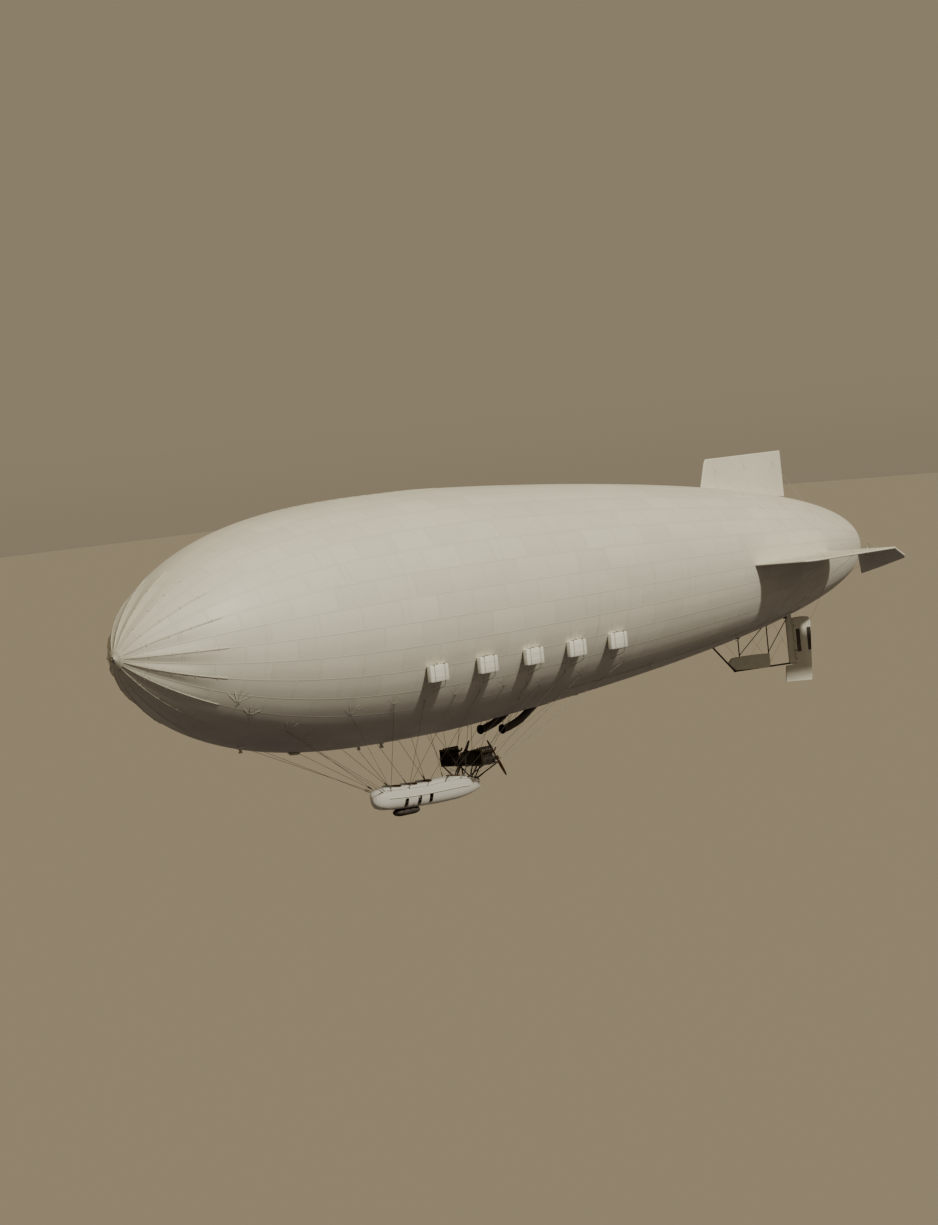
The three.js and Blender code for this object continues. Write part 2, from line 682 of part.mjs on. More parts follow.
function engine(side) {
  const y = side * ENGINE.y;
  const { front, rear, axis } = ENGINE;
  const exhaust = y + EXHAUST.out;
  const intake = y - INTAKE.out;
  const pieces = [
    // sump and crankcase, feet, camshaft casing
    box([front, y - 0.15, bearerTop + 0.10], [rear, y + 0.15, axis + 0.16]),
    box([front + 0.05, y - 0.22, bearerTop], [rear - 0.05, y + 0.22, bearerTop + 0.12]),
    box([front + 0.04, y - 0.06, -7.60], [rear - 0.04, y + 0.06, -7.48]),
    // exhaust and intake manifolds
    rod([front + 0.1, exhaust, EXHAUST.z], [rear + 0.05, exhaust, EXHAUST.z], 0.04),
    rod([front + 0.2, intake, INTAKE.z], [rear - 0.2, intake, INTAKE.z], 0.035),
    // bearing housing and propeller shaft
    rod([rear - 0.02, y, axis], [rear + 0.14, y, axis], 0.09, 16),
    rod([rear, y, axis], [PROPELLER.station + 0.05, y, axis], SHAFT_RADIUS, 16),
  ];
  const pitch = (rear - front - 2 * CYLINDERS.inset) / (CYLINDERS.count - 1);
  for (let i = 0; i < CYLINDERS.count; i += 1) {
    const s = front + CYLINDERS.inset + i * pitch;
    pieces.push(rod([s, y, axis + 0.1], [s, y, CYLINDERS.top], CYLINDERS.radius, 8));
    pieces.push(rod([s, y, EXHAUST.z], [s, exhaust, EXHAUST.z], 0.025, 4));
    pieces.push(rod([s, y, INTAKE.z], [s, intake, INTAKE.z], 0.02, 4));
  }
  return joined(pieces);
}

function radiator(side) {
  const y = side * ENGINE.y;
  const { front, rear } = RADIATOR;
  const middle = (front + rear) / 2;
  return joined([
    // core, header tank, filler, hose to the engine
    box([front, y - 0.27, bearerTop], [rear, y + 0.27, -7.62]),
    box([front - 0.02, y - 0.29, -7.66], [rear + 0.02, y + 0.29, -7.56]),
    rod([middle, y, -7.58], [middle, y, -7.50], 0.04, 10),
    rod([rear - 0.02, y + 0.05, -7.61], [ENGINE.front - GAP / MM, y + 0.05, -7.61], 0.025),
  ]);
}

// Propeller with two twisted blades on a hub that is bored from its front
const BLADE_SIDES = 8;
const BLADE_PITCH = 0.62; // advance in one turn
const HUB_HALF = 0.07;
const BORE_END = 0.055; // how far behind the hub's middle the bore stops
const bladeRows = [
  // share of the radius, chord, thickness
  [0.00, 0.10, 0.075],
  [0.12, 0.11, 0.068],
  [0.30, 0.16, 0.058],
  [0.50, 0.17, 0.047],
  [0.70, 0.15, 0.036],
  [0.88, 0.11, 0.026],
  [1.00, 0.05, 0.019],
];

function propeller(side) {
  const { station, radius } = PROPELLER;
  const blade = (sign) => loft(bladeRows.map(([share, chord, thick]) => {
    const reach = share * radius;
    const twist = Math.atan(BLADE_PITCH / (2 * Math.PI * Math.max(reach, 0.14))) * -side * sign;
    return Array.from({ length: BLADE_SIDES }, (_, i) => {
      const turn = (2 * Math.PI * i) / BLADE_SIDES;
      const along = Math.cos(turn) * chord / 2;
      const across = Math.sin(turn) * thick / 2;
      const s = station + along * Math.sin(twist) + across * Math.cos(twist);
      const y = along * Math.cos(twist) - across * Math.sin(twist);
      return place(s, y, sign * reach);
    });
  }));
  const hub = rod([station - HUB_HALF, 0, 0], [station + HUB_HALF, 0, 0], PROPELLER.hub, 16);
  const bore = rod([station - 0.1, 0, 0], [station + BORE_END, 0, 0], PROPELLER.bore, 16);
  const whole = joined([blade(1), blade(-1), hub]).subtract(bore);
  const centre = place(0, side * ENGINE.y, ENGINE.axis);
  return whole.rotate([side * PROPELLER.lean, 0, 0]).translate([0, centre.y, centre.z]);
}

for (const [label, side] of [['port', 1], ['starboard', -1]]) {
  add(`${label}_engine`, engine(side), 'engine');
  add(`${label}_radiator`, radiator(side), 'copper');
  add(`${label}_propeller`, propeller(side), 'wood');
}

// Oil and water tank between the engines, on two cradles that sit on the bearers
const cradle = (station) => box([station, -0.32, bearerTop], [station + 0.12, 0.32, -8.1]);
const serviceTank = joined([
  rod([23.98, 0, -8.02], [25.02, 0, -8.02], 0.30, 20),
  cradle(24.10),
  cradle(24.76),
  rod([24.4, 0, -7.74], [24.4, 0, -7.66], 0.06, 12),
]);
add('service_tank', serviceTank, 'engine');

// Main stays from the car and the engine mount to patches low on the envelope
const STAY_RADIUS = 0.008;
const PATCH = { half: 0.22, lift: 0.03, radius: 0.02 };
const STAY_LUG = { radius: 0.025, below: 0.05, above: 0.08 };
const stays = [
  // lower station, y, z, upper station, angle up from the bottom of the envelope in degrees
  [17.60, 0.64, -8.86, 14.0, 50],
  [18.90, 0.72, -8.91, 18.5, 50],
  [21.70, 0.72, -8.94, 22.3, 50],
  [24.50, 1.46, BEARER_Z + BEARER_RADIUS + STAY_LUG.below + GAP / MM, 27.5, 50],
];

function stay([station, y, z, upper, degrees], side) {
  const angle = THREE.MathUtils.degToRad(degrees);
  const out = radiusAt(upper) + PATCH.lift;
  const top = (shift) => [upper + shift, side * out * Math.sin(angle), -out * Math.cos(angle)];
  const bar = rod(top(-PATCH.half), top(PATCH.half), PATCH.radius);
  const wire = rod([station, side * y, z + 0.04], top(0), STAY_RADIUS);
  const [low, high] = [z - STAY_LUG.below, z + STAY_LUG.above];
  const lug = rod([station, side * y, low], [station, side * y, high], STAY_LUG.radius);
  return joined([wire, bar, lug]).subtract(carSpace);
}

for (const [label, side] of [['port', 1], ['starboard', -1]]) {
  stays.forEach((row, i) => add(`${label}_stay_${i + 1}`, stay(row, side), 'cable'));
}

// Gas valves under the belly
const VALVE = { radius: 0.26, half: 0.10 };
for (const [label, station] of [['forward', 11.5], ['aft', 33.5]]) {
  const z = -radiusAt(station);
  const drum = rod([station, 0, z + VALVE.half], [station, 0, z - VALVE.half], VALVE.radius, 16);
  add(`${label}_valve`, drum.subtract(hullSpace), 'paint');
}

export default airship;
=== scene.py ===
# Looks of a two-engined non-rigid airship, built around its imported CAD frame.
# Sizes are real metres on the full-size airship, as (station aft of the nose, y to port, z up from the axis).
# place() turns them into the 1:2 model's frame, with +X to the nose.
from math import asin, atan, atan2, copysign, cos, exp, hypot, pi, radians, sin, sqrt

import bmesh
import bpy
from mathutils import Matrix, Vector


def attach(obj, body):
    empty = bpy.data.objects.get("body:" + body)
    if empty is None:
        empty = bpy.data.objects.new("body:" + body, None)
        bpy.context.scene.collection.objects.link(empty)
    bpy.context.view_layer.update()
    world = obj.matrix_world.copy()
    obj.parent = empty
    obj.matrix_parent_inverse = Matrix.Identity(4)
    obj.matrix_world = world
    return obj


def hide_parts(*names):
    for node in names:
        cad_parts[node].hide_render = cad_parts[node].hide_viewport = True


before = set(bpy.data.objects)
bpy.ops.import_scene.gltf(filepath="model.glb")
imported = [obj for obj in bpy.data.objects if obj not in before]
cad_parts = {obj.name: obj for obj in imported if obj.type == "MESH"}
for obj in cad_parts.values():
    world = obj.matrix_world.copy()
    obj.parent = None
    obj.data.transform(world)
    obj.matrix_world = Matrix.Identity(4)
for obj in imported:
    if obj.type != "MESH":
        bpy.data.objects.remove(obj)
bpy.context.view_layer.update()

SCALE = 0.5
BUOYANCY_STATION = 26.8
LENGTH = 60.35
RADIUS = 6.40
WIDEST = 0.36
NOSE_POWERS = (3.5, 0.74)
TAIL_POWERS = (1.25, 0.41)
SKIN_INSET = 0.006
BATTEN_COUNT = 16
GORES = 32
FOLD_DEPTH = 0.14
GORE_FULLNESS = 0.006
SIDES = (("port", 1), ("starboard", -1))
# directions as (aft, to port, up)
AFT, FORWARD, PORT = (1, 0, 0), (-1, 0, 0), (0, 1, 0)
UP, DOWN = (0, 0, 1), (0, 0, -1)


def place(point):
    s, y, z = point
    return Vector(((BUOYANCY_STATION - s) * SCALE, y * SCALE, z * SCALE))


def lerp_table(rows, x):
    """Value at x of a table of (x, value), straight between its rows."""
    if x <= rows[0][0]:
        return rows[0][1]
    for (x0, v0), (x1, v1) in zip(rows, rows[1:]):
        if x <= x1:
            return v0 if x1 == x0 else v0 + (v1 - v0) * (x - x0) / (x1 - x0)
    return rows[-1][1]


def smooth_step(low, high, x):
    t = min(max((x - low) / (high - low), 0.0), 1.0)
    return t * t * (3 - 2 * t)


# Camera and studio

def make_camera():
    yaw, pitch, roll = -0.839720, -0.053527, -0.099299
    where = (119.1286, 129.8495, 9.9623)  # real metres forward of the nose, to port and up
    focal_px, long_side_px, sensor = 3665.0, 1225.0, 36.0
    ahead = Vector((cos(pitch) * sin(yaw), -cos(pitch) * cos(yaw), sin(pitch)))
    right = ahead.cross(Vector(UP)).normalized()
    up = right.cross(ahead)
    right_rolled = cos(roll) * right + sin(roll) * up
    up_rolled = cos(roll) * up - sin(roll) * right
    data = bpy.data.cameras.new("camera")
    data.sensor_width = sensor
    data.lens = focal_px * sensor / long_side_px
    data.clip_start = 1.0
    data.clip_end = 3000.0
    camera = bpy.data.objects.new("camera", data)
    bpy.context.scene.collection.objects.link(camera)
    turn = Matrix((right_rolled, up_rolled, -ahead)).transposed().to_4x4()
    camera.matrix_world = Matrix.Translation(place((-where[0], where[1], where[2]))) @ turn
    bpy.context.scene.camera = camera


FLOOR_DROP = -28.0
FLOOR_HALF = 900.0
FLOOR_COLOUR = (0.415, 0.375, 0.305)
SKY_COLOUR = (0.325, 0.278, 0.200)
UNDER_COLOUR = (0.135, 0.120, 0.128)
SKY_FADE_END = -0.22  # height on the unit sphere where the sky's colour has turned into the one below
EXPOSURE = -0.42
TO_LIGHT = (0.185, 0.733, 0.655)  # towards the light, from the shadows in the photo
KEY_ENERGY = 2.5
KEY_COLOUR = (1.0, 0.98, 0.92)
KEY_DEGREES = 4.0


def make_studio():
    """Pale sky all round that darkens below, a soft sun from port and a plain pale floor."""
    scene = bpy.context.scene
    world = bpy.data.worlds.new("studio")
    world.use_nodes = True
    sky = Nodes(world.node_tree)
    height = sky.node("SeparateXYZ", {0: sky.node("TexCoord", {}, "Generated")}, 2)
    colour = sky.mix(sky.range(height, SKY_FADE_END, 0.0), UNDER_COLOUR, SKY_COLOUR)
    sky.plug(sky.tree.nodes["Background"].inputs["Color"], colour)
    scene.world = world
    scene.view_settings.look = "AgX - High Contrast"
    scene.view_settings.exposure = EXPOSURE

    key = bpy.data.lights.new("key", "SUN")
    key.energy = KEY_ENERGY
    key.color = KEY_COLOUR
    key.angle = radians(KEY_DEGREES)
    lamp = bpy.data.objects.new("key", key)
    lamp.rotation_mode = "QUATERNION"
    lamp.rotation_quaternion = Vector(TO_LIGHT).to_track_quat("Z", "Y")
    scene.collection.objects.link(lamp)

    mesh = bpy.data.meshes.new("floor")
    corners = [(-FLOOR_HALF, -FLOOR_HALF, 0), (FLOOR_HALF, -FLOOR_HALF, 0), (FLOOR_HALF, FLOOR_HALF, 0),
               (-FLOOR_HALF, FLOOR_HALF, 0)]
    mesh.from_pydata(corners, [], [(0, 1, 2, 3)])
    floor = bpy.data.objects.new("floor", mesh)
    floor.location = (0, 0, FLOOR_DROP)
    floor.visible_diffuse = False
    shader = Shader("floor")
    shader.set("Base Color", (*FLOOR_COLOUR, 1))
    shader.set("Roughness", 0.9)
    shader.set("Specular IOR Level", 0.1)
    mesh.materials.append(shader.material)
    scene.collection.objects.link(floor)


# Procedural materials


class Nodes:
    """Short calls for the nodes of one tree."""

    def __init__(self, tree):
        self.tree = tree

    def plug(self, target, value):
        if hasattr(value, "is_linked"):
            self.tree.links.new(value, target)
        elif isinstance(value, tuple) and len(value) == 3 and target.type == "RGBA":
            target.default_value = (*value, 1)
        else:
            target.default_value = value

    def node(self, kind, inputs, output=0, **settings):
        """One output of a new node, after its settings and the values or links of its inputs."""
        node = self.tree.nodes.new("ShaderNode" + kind)
        for key, value in settings.items():
            setattr(node, key, value)
        for socket, value in inputs.items():
            self.plug(node.inputs[socket], value)
        return node.outputs[output]

    def mix(self, share, a, b):
        return self.node("Mix", {"Factor": share, 6: a, 7: b}, 2, data_type="RGBA")

    def range(self, value, low, high, to_low=0.0, to_high=1.0):
        return self.node("MapRange", dict(enumerate((value, low, high, to_low, to_high))))


class Shader(Nodes):
    """A Principled material with short calls for what feeds it."""

    def __init__(self, name):
        self.material = bpy.data.materials.new(name)
        self.material.use_nodes = True
        super().__init__(self.material.node_tree)
        self.bsdf = self.tree.nodes["Principled BSDF"]
        self.position = self.node("TexCoord", {}, "Object")

    def set(self, socket, value):
        self.bsdf.inputs[socket].default_value = value

    def feed(self, socket, source):
        self.tree.links.new(source, self.bsdf.inputs[socket])

    def axes(self):
        return [self.node("SeparateXYZ", {0: self.position}, k) for k in range(3)]

    def math(self, operation, *values):
        return self.node("Math", dict(enumerate(values)), operation=operation)

    def stretched(self, x, y, z):
        return self.node("VectorMath", {0: self.position, 1: (x, y, z)}, operation="MULTIPLY")

    def noise(self, scale, detail=3.0, roughness=0.55, where=None, distortion=0.0):
        inputs = {"Vector": where or self.position, "Scale": scale, "Detail": detail, "Roughness": roughness,
                  "Distortion": distortion}
        return self.node("TexNoise", inputs, "Fac")

    def voronoi(self, scale):
        return self.node("TexVoronoi", {"Vector": self.position, "Scale": scale}, feature="DISTANCE_TO_EDGE")

    def bump(self, height, distance, strength=1.0, under=None):
        inputs = {"Height": height, "Distance": distance, "Strength": strength}
        if under is not None:
            inputs["Normal"] = under
        return self.node("Bump", inputs)

    def stain(self, tone, colour, value, low, high, share):
        """The tone with a share of another colour, growing as value goes from low to high."""
        return self.mix(self.range(value, low, high, 0.0, share), tone, colour)

    def repeat_distance(self, value, pitch):
        """Distance from value to the nearest whole multiple of pitch."""
        share = self.math("FRACT", self.math("DIVIDE", value, pitch))
        away = self.math("ABSOLUTE", self.math("SUBTRACT", share, 0.5))
        return self.math("MULTIPLY", self.math("SUBTRACT", 0.5, away), pitch)

    def finish(self, tone, roughness, normal):
        """The material, with its colour, roughness and normal fed."""
        self.feed("Base Color", tone)
        self.feed("Roughness", roughness)
        self.feed("Normal", normal)
        return self.material


def scaled_colour(colour, factor):
    return tuple(min(c * factor, 1.0) for c in colour)


def plain(name, colour, roughness, metal=0.0, mottle=0.12, grain=18.0, bump_depth=0.0006, wear=None,
          coat=0.0):
    """Painted or bare surface: uneven tone, smudges in the gloss, fine bump and worn spots."""
    shader = Shader(name)
    broad = shader.noise(grain * 0.12, 4.0)
    fine = shader.noise(grain, 5.0, 0.6)
    tone = shader.mix(broad, scaled_colour(colour, 1 - mottle), scaled_colour(colour, 1 + mottle))
    tone = shader.mix(shader.range(fine, 0.35, 0.75), tone, scaled_colour(colour, 1 - mottle * 0.7))
    if wear:
        spots = shader.noise(grain * 2.2, 6.0, 0.7, distortion=0.4)
        mask = shader.range(spots, 0.63, 0.70)
        tone = shader.mix(mask, tone, wear)
    shader.set("Metallic", metal)
    shader.set("Coat Weight", coat)
    gloss = shader.range(fine, 0.2, 0.8, max(roughness - 0.10, 0.05), min(roughness + 0.14, 1.0))
    return shader.finish(tone, gloss, shader.bump(fine, bump_depth, 0.6))


CREAM = (0.74, 0.725, 0.62)


def darker_towards_bottom(shader, tone, z, smudge):
    """Cloth darker and slightly browner towards the bottom of the envelope, unevenly."""
    share = shader.math("MULTIPLY", shader.range(z, -1.4, -3.1, 0.0, 0.5),
                        shader.range(smudge, 0.3, 0.7, 0.5, 1.0))
    return shader.mix(share, tone, (0.41, 0.375, 0.335))


def tape_material():
    """Cloth tapes and patches on the envelope, a little duller than the cloth under them."""
    shader = Shader("seam_tape")
    _, _, z = shader.axes()
    smudge = shader.noise(0.9, 6.0, 0.6)
    fine = shader.noise(30.0, 5.0, 0.6)
    tone = shader.mix(fine, scaled_colour(CREAM, 0.90), scaled_colour(CREAM, 0.97))
    tone = darker_towards_bottom(shader, tone, z, smudge)
    return shader.finish(tone, shader.range(fine, 0.2, 0.8, 0.56, 0.72), shader.bump(fine, 0.0005, 0.5))


def envelope_material():
    """Doped cotton in gores and cross panels, with taped seams, uneven panels, stains and weave."""
    shader = Shader("envelope_fabric")
    x, y, z = shader.axes()
    angle = shader.math("ARCTAN2", z, y)
    squares = shader.math("ADD", shader.math("MULTIPLY", y, y), shader.math("MULTIPLY", z, z))
    radius = shader.math("SQRT", squares)
    step = 2 * pi / GORES
    panel = 1.30
    gore = shader.math("FLOOR", shader.math("DIVIDE", angle, step))
    stagger = shader.math("MULTIPLY", shader.math("PINGPONG", gore, 1.0), panel / 2)
    shifted = shader.math("ADD", x, stagger)
    cross = shader.math("FLOOR", shader.math("DIVIDE", shifted, panel))
    to_gore_seam = shader.math("MULTIPLY", shader.repeat_distance(angle, step), radius)
    to_cross_seam = shader.repeat_distance(shifted, panel)
    nearest = shader.math("MINIMUM", to_gore_seam, to_cross_seam)
    tape = shader.range(nearest, 0.020, 0.010)
    edge = shader.math("MULTIPLY", shader.range(nearest, 0.034, 0.020), shader.math("SUBTRACT", 1.0, tape))

    panel_number = shader.node("CombineXYZ", {0: gore, 1: cross})
    patch = shader.node("TexWhiteNoise", {"Vector": panel_number}, "Value")
    broad = shader.noise(0.16, 4.0, 0.5)
    smudge = shader.noise(0.9, 6.0, 0.6, where=shader.stretched(0.5, 1.0, 1.0))
    streak = shader.noise(1.6, 5.0, 0.6, where=shader.stretched(2.4, 0.35, 0.22))
    tone = shader.mix(patch, scaled_colour(CREAM, 0.965), scaled_colour(CREAM, 1.03))
    tone = shader.stain(tone, (0.66, 0.645, 0.55), broad, 0.35, 0.70, 0.35)
    tone = shader.stain(tone, (0.60, 0.57, 0.48), smudge, 0.55, 0.80, 0.30)
    tone = shader.stain(tone, (0.52, 0.49, 0.41), streak, 0.58, 0.78, 0.22)
    tone = darker_towards_bottom(shader, tone, z, smudge)
    tone = shader.mix(shader.math("MULTIPLY", tape, 0.35), tone, scaled_colour(CREAM, 1.08))
    tone = shader.mix(shader.math("MULTIPLY", edge, 0.30), tone, (0.38, 0.36, 0.30))
    shader.set("Sheen Weight", 0.12)
    shader.set("Sheen Roughness", 0.5)
    weave = shader.noise(240.0, 2.0)
    slack = shader.noise(1.1, 3.0, 0.5, where=shader.stretched(0.5, 1.4, 1.4))
    normal = shader.bump(weave, 0.0004, 0.3)
    normal = shader.bump(slack, 0.020, 0.35, under=normal)
    normal = shader.bump(tape, 0.0030, 0.8, under=normal)
    return shader.finish(tone, shader.range(smudge, 0.3, 0.8, 0.50, 0.66), normal)


def fin_material(name, stripes=()):
    """Doped linen over ribs: warm tone, soft stains, weave, and stripes where the table gives them."""
    shader = Shader(name)
    x, _, z = shader.axes()
    broad = shader.noise(0.7, 4.0)
    smudge = shader.noise(2.6, 6.0, 0.6)
    tone = shader.mix(broad, scaled_colour(CREAM, 0.93), scaled_colour(CREAM, 1.05))
    tone = shader.stain(tone, (0.56, 0.53, 0.45), smudge, 0.55, 0.80, 0.32)
    for front, rear, low, high, colour in stripes:
        across = shader.math("MULTIPLY", shader.math("GREATER_THAN", x, rear),
                             shader.math("LESS_THAN", x, front))
        upright = shader.math("MULTIPLY", shader.math("GREATER_THAN", z, low),
                              shader.math("LESS_THAN", z, high))
        band = shader.math("MULTIPLY", across, upright)
        faded = shader.mix(smudge, scaled_colour(colour, 0.85), scaled_colour(colour, 1.25))
        tone = shader.mix(band, tone, faded)
    shader.set("Sheen Weight", 0.12)
    weave = shader.noise(260.0, 2.0)
    slack = shader.noise(3.0, 3.0)
    return shader.finish(tone, shader.range(smudge, 0.3, 0.8, 0.48, 0.64),
                         shader.bump(slack, 0.004, 0.3, under=shader.bump(weave, 0.0004, 0.3)))


def wood_material(name, dark, light, along, ring_scale=26.0, coat=0.0, roughness=0.42):
    """Grain that runs along one axis of the frame."""
    shader = Shader(name)
    squeeze = [1.0, 1.0, 1.0]
    squeeze["xyz".index(along)] = 0.08
    where = shader.stretched(*squeeze)
    grain = shader.noise(ring_scale, 6.0, 0.65, where=where, distortion=0.6)
    pores = shader.noise(ring_scale * 7, 3.0, 0.6, where=where)
    tone = shader.mix(shader.range(grain, 0.3, 0.72), dark, light)
    tone = shader.stain(tone, scaled_colour(dark, 0.6), pores, 0.6, 0.8, 0.5)
    shader.set("Coat Weight", coat)
    return shader.finish(tone, shader.range(grain, 0.2, 0.8, roughness - 0.08, roughness + 0.14),
                         shader.bump(pores, 0.0006, 0.4))


def leather_material():
    shader = Shader("seat_leather")
    cells = shader.voronoi(150.0)
    worn = shader.noise(9.0, 5.0, 0.6)
    tone = shader.mix(shader.range(worn, 0.35, 0.75), (0.085, 0.048, 0.030), (0.22, 0.135, 0.085))
    tone = shader.mix(shader.range(cells, 0.0, 0.10, 0.55, 0.0), tone, (0.04, 0.022, 0.015))
    return shader.finish(tone, shader.range(worn, 0.3, 0.8, 0.38, 0.62), shader.bump(cells, 0.0012, 0.5))


def rubber_material():
    """Rubbered canvas of the landing bag."""
    shader = Shader("bumper_canvas")
    weave = shader.noise(120.0, 3.0)
    scuff = shader.noise(6.0, 6.0, 0.7, where=shader.stretched(1.0, 1.0, 2.0))
    tone = shader.mix(shader.range(scuff, 0.4, 0.75), (0.080, 0.069, 0.063), (0.18, 0.157, 0.138))
    return shader.finish(tone, shader.range(scuff, 0.3, 0.8, 0.66, 0.86),
                         shader.bump(scuff, 0.004, 0.4, under=shader.bump(weave, 0.0008, 0.5)))


def glass_material():
    shader = Shader("windscreen_glass")
    shader.set("Base Color", (0.86, 0.90, 0.88, 1))
    shader.set("Transmission Weight", 0.9)
    shader.set("IOR", 1.45)
    dust = shader.noise(30.0, 5.0)
    shader.feed("Roughness", shader.range(dust, 0.4, 0.8, 0.03, 0.16))
    return shader.material


def core_material():
    """Fine honeycomb of a radiator, seen end on, with painted shade deep in each cell and lighter cell walls.
    """
    shader = Shader("radiator_core")
    cells = shader.voronoi(95.0)
    # painted shade inside the cells, fading to the lighter walls
    tone = shader.mix(shader.range(cells, 0.02, 0.16), (0.120, 0.100, 0.078), (0.028, 0.024, 0.021))
    shader.feed("Base Color", tone)
    shader.set("Metallic", 0.7)
    shader.set("Roughness", 0.5)
    shader.feed("Normal", shader.bump(cells, 0.006, 0.8))
    return shader.material


MAT = {}


def make_materials():
    stripe = (0.115, 0.100, 0.092)
    stripe_rows = []
    for middle in (54.34, 55.41):
        front, rear = place((middle - 0.19, 0, 0)).x, place((middle + 0.19, 0, 0)).x
        stripe_rows.append((front, rear, -5.82 * SCALE, -4.48 * SCALE, stripe))
    MAT.update({
        "envelope": envelope_material(),
        "fin": fin_material("fin_fabric"),
        "rudder": fin_material("rudder_fabric", stripe_rows),
        "tape": tape_material(),
        "webbing": plain("webbing", (0.52, 0.49, 0.41), 0.85, grain=120.0, mottle=0.18, bump_depth=0.001),
        "canvas": plain("proofed_canvas", (0.190, 0.165, 0.150), 0.80, grain=90.0, mottle=0.28,
                        bump_depth=0.001, wear=(0.26, 0.23, 0.20)),
        "cream": plain("cream_paint", (0.80, 0.79, 0.71), 0.36, mottle=0.05, grain=14.0,
                       wear=(0.36, 0.33, 0.28), coat=0.25),
        "tank": plain("tank_paint", (0.82, 0.81, 0.73), 0.34, mottle=0.05, grain=12.0,
                      wear=(0.45, 0.42, 0.36), coat=0.25),
        "dull": plain("spun_metal", (0.42, 0.41, 0.38), 0.48, metal=0.8, grain=40.0),
        "enamel": plain("dark_enamel", (0.125, 0.109, 0.099), 0.46, mottle=0.3, grain=24.0,
                        wear=(0.20, 0.17, 0.14)),
        "iron": plain("oily_iron", (0.150, 0.133, 0.121), 0.46, metal=0.55, mottle=0.35, grain=28.0,
                      wear=(0.16, 0.12, 0.09)),
        "steel": plain("bright_steel", (0.36, 0.35, 0.33), 0.34, metal=0.9, grain=50.0),
        "exhaust": plain("burnt_pipe", (0.12, 0.075, 0.05), 0.62, metal=0.5, mottle=0.4, grain=30.0),
        "brass": plain("tarnished_brass", (0.135, 0.108, 0.075), 0.46, metal=0.7, mottle=0.30, grain=26.0),
        "core": core_material(),
        "propeller": wood_material("laminated_wood", (0.060, 0.026, 0.012), (0.19, 0.088, 0.038), "z", 22.0,
            coat=0.7),
        "boards": wood_material("floor_boards", (0.105, 0.070, 0.042), (0.235, 0.165, 0.105), "x"),
        "batten": wood_material("batten_sheath", (0.60, 0.575, 0.485), (0.72, 0.70, 0.60), "x", 14.0,
            roughness=0.6),
        "leather": leather_material(),
        "bag": rubber_material(),
        "glass": glass_material(),
        "cable": plain("galvanised_wire", (0.33, 0.31, 0.275), 0.50, metal=0.3, grain=60.0),
        "tinned_wire": plain("tinned_wire", (0.58, 0.56, 0.50), 0.45, metal=0.2, grain=60.0),
        "dial": plain("dial_face", (0.80, 0.79, 0.74), 0.3, mottle=0.03),
        # black rubber parts, and the painted shade inside the air scoops
        "black": plain("black_rubber_and_scoop_shade", (0.022, 0.021, 0.020), 0.7, mottle=0.25, grain=40.0),
    })


# Mesh kit


def square_to(axis):
    """Two directions square to an axis and to each other."""
    guess = Vector(UP) if abs(axis.z) < 0.9 else Vector(AFT)
    side = axis.cross(guess).normalized()
    return side, axis.cross(side)


def turns(count):
    """Evenly spaced angles once round."""
    return [2 * pi * k / count for k in range(count)]


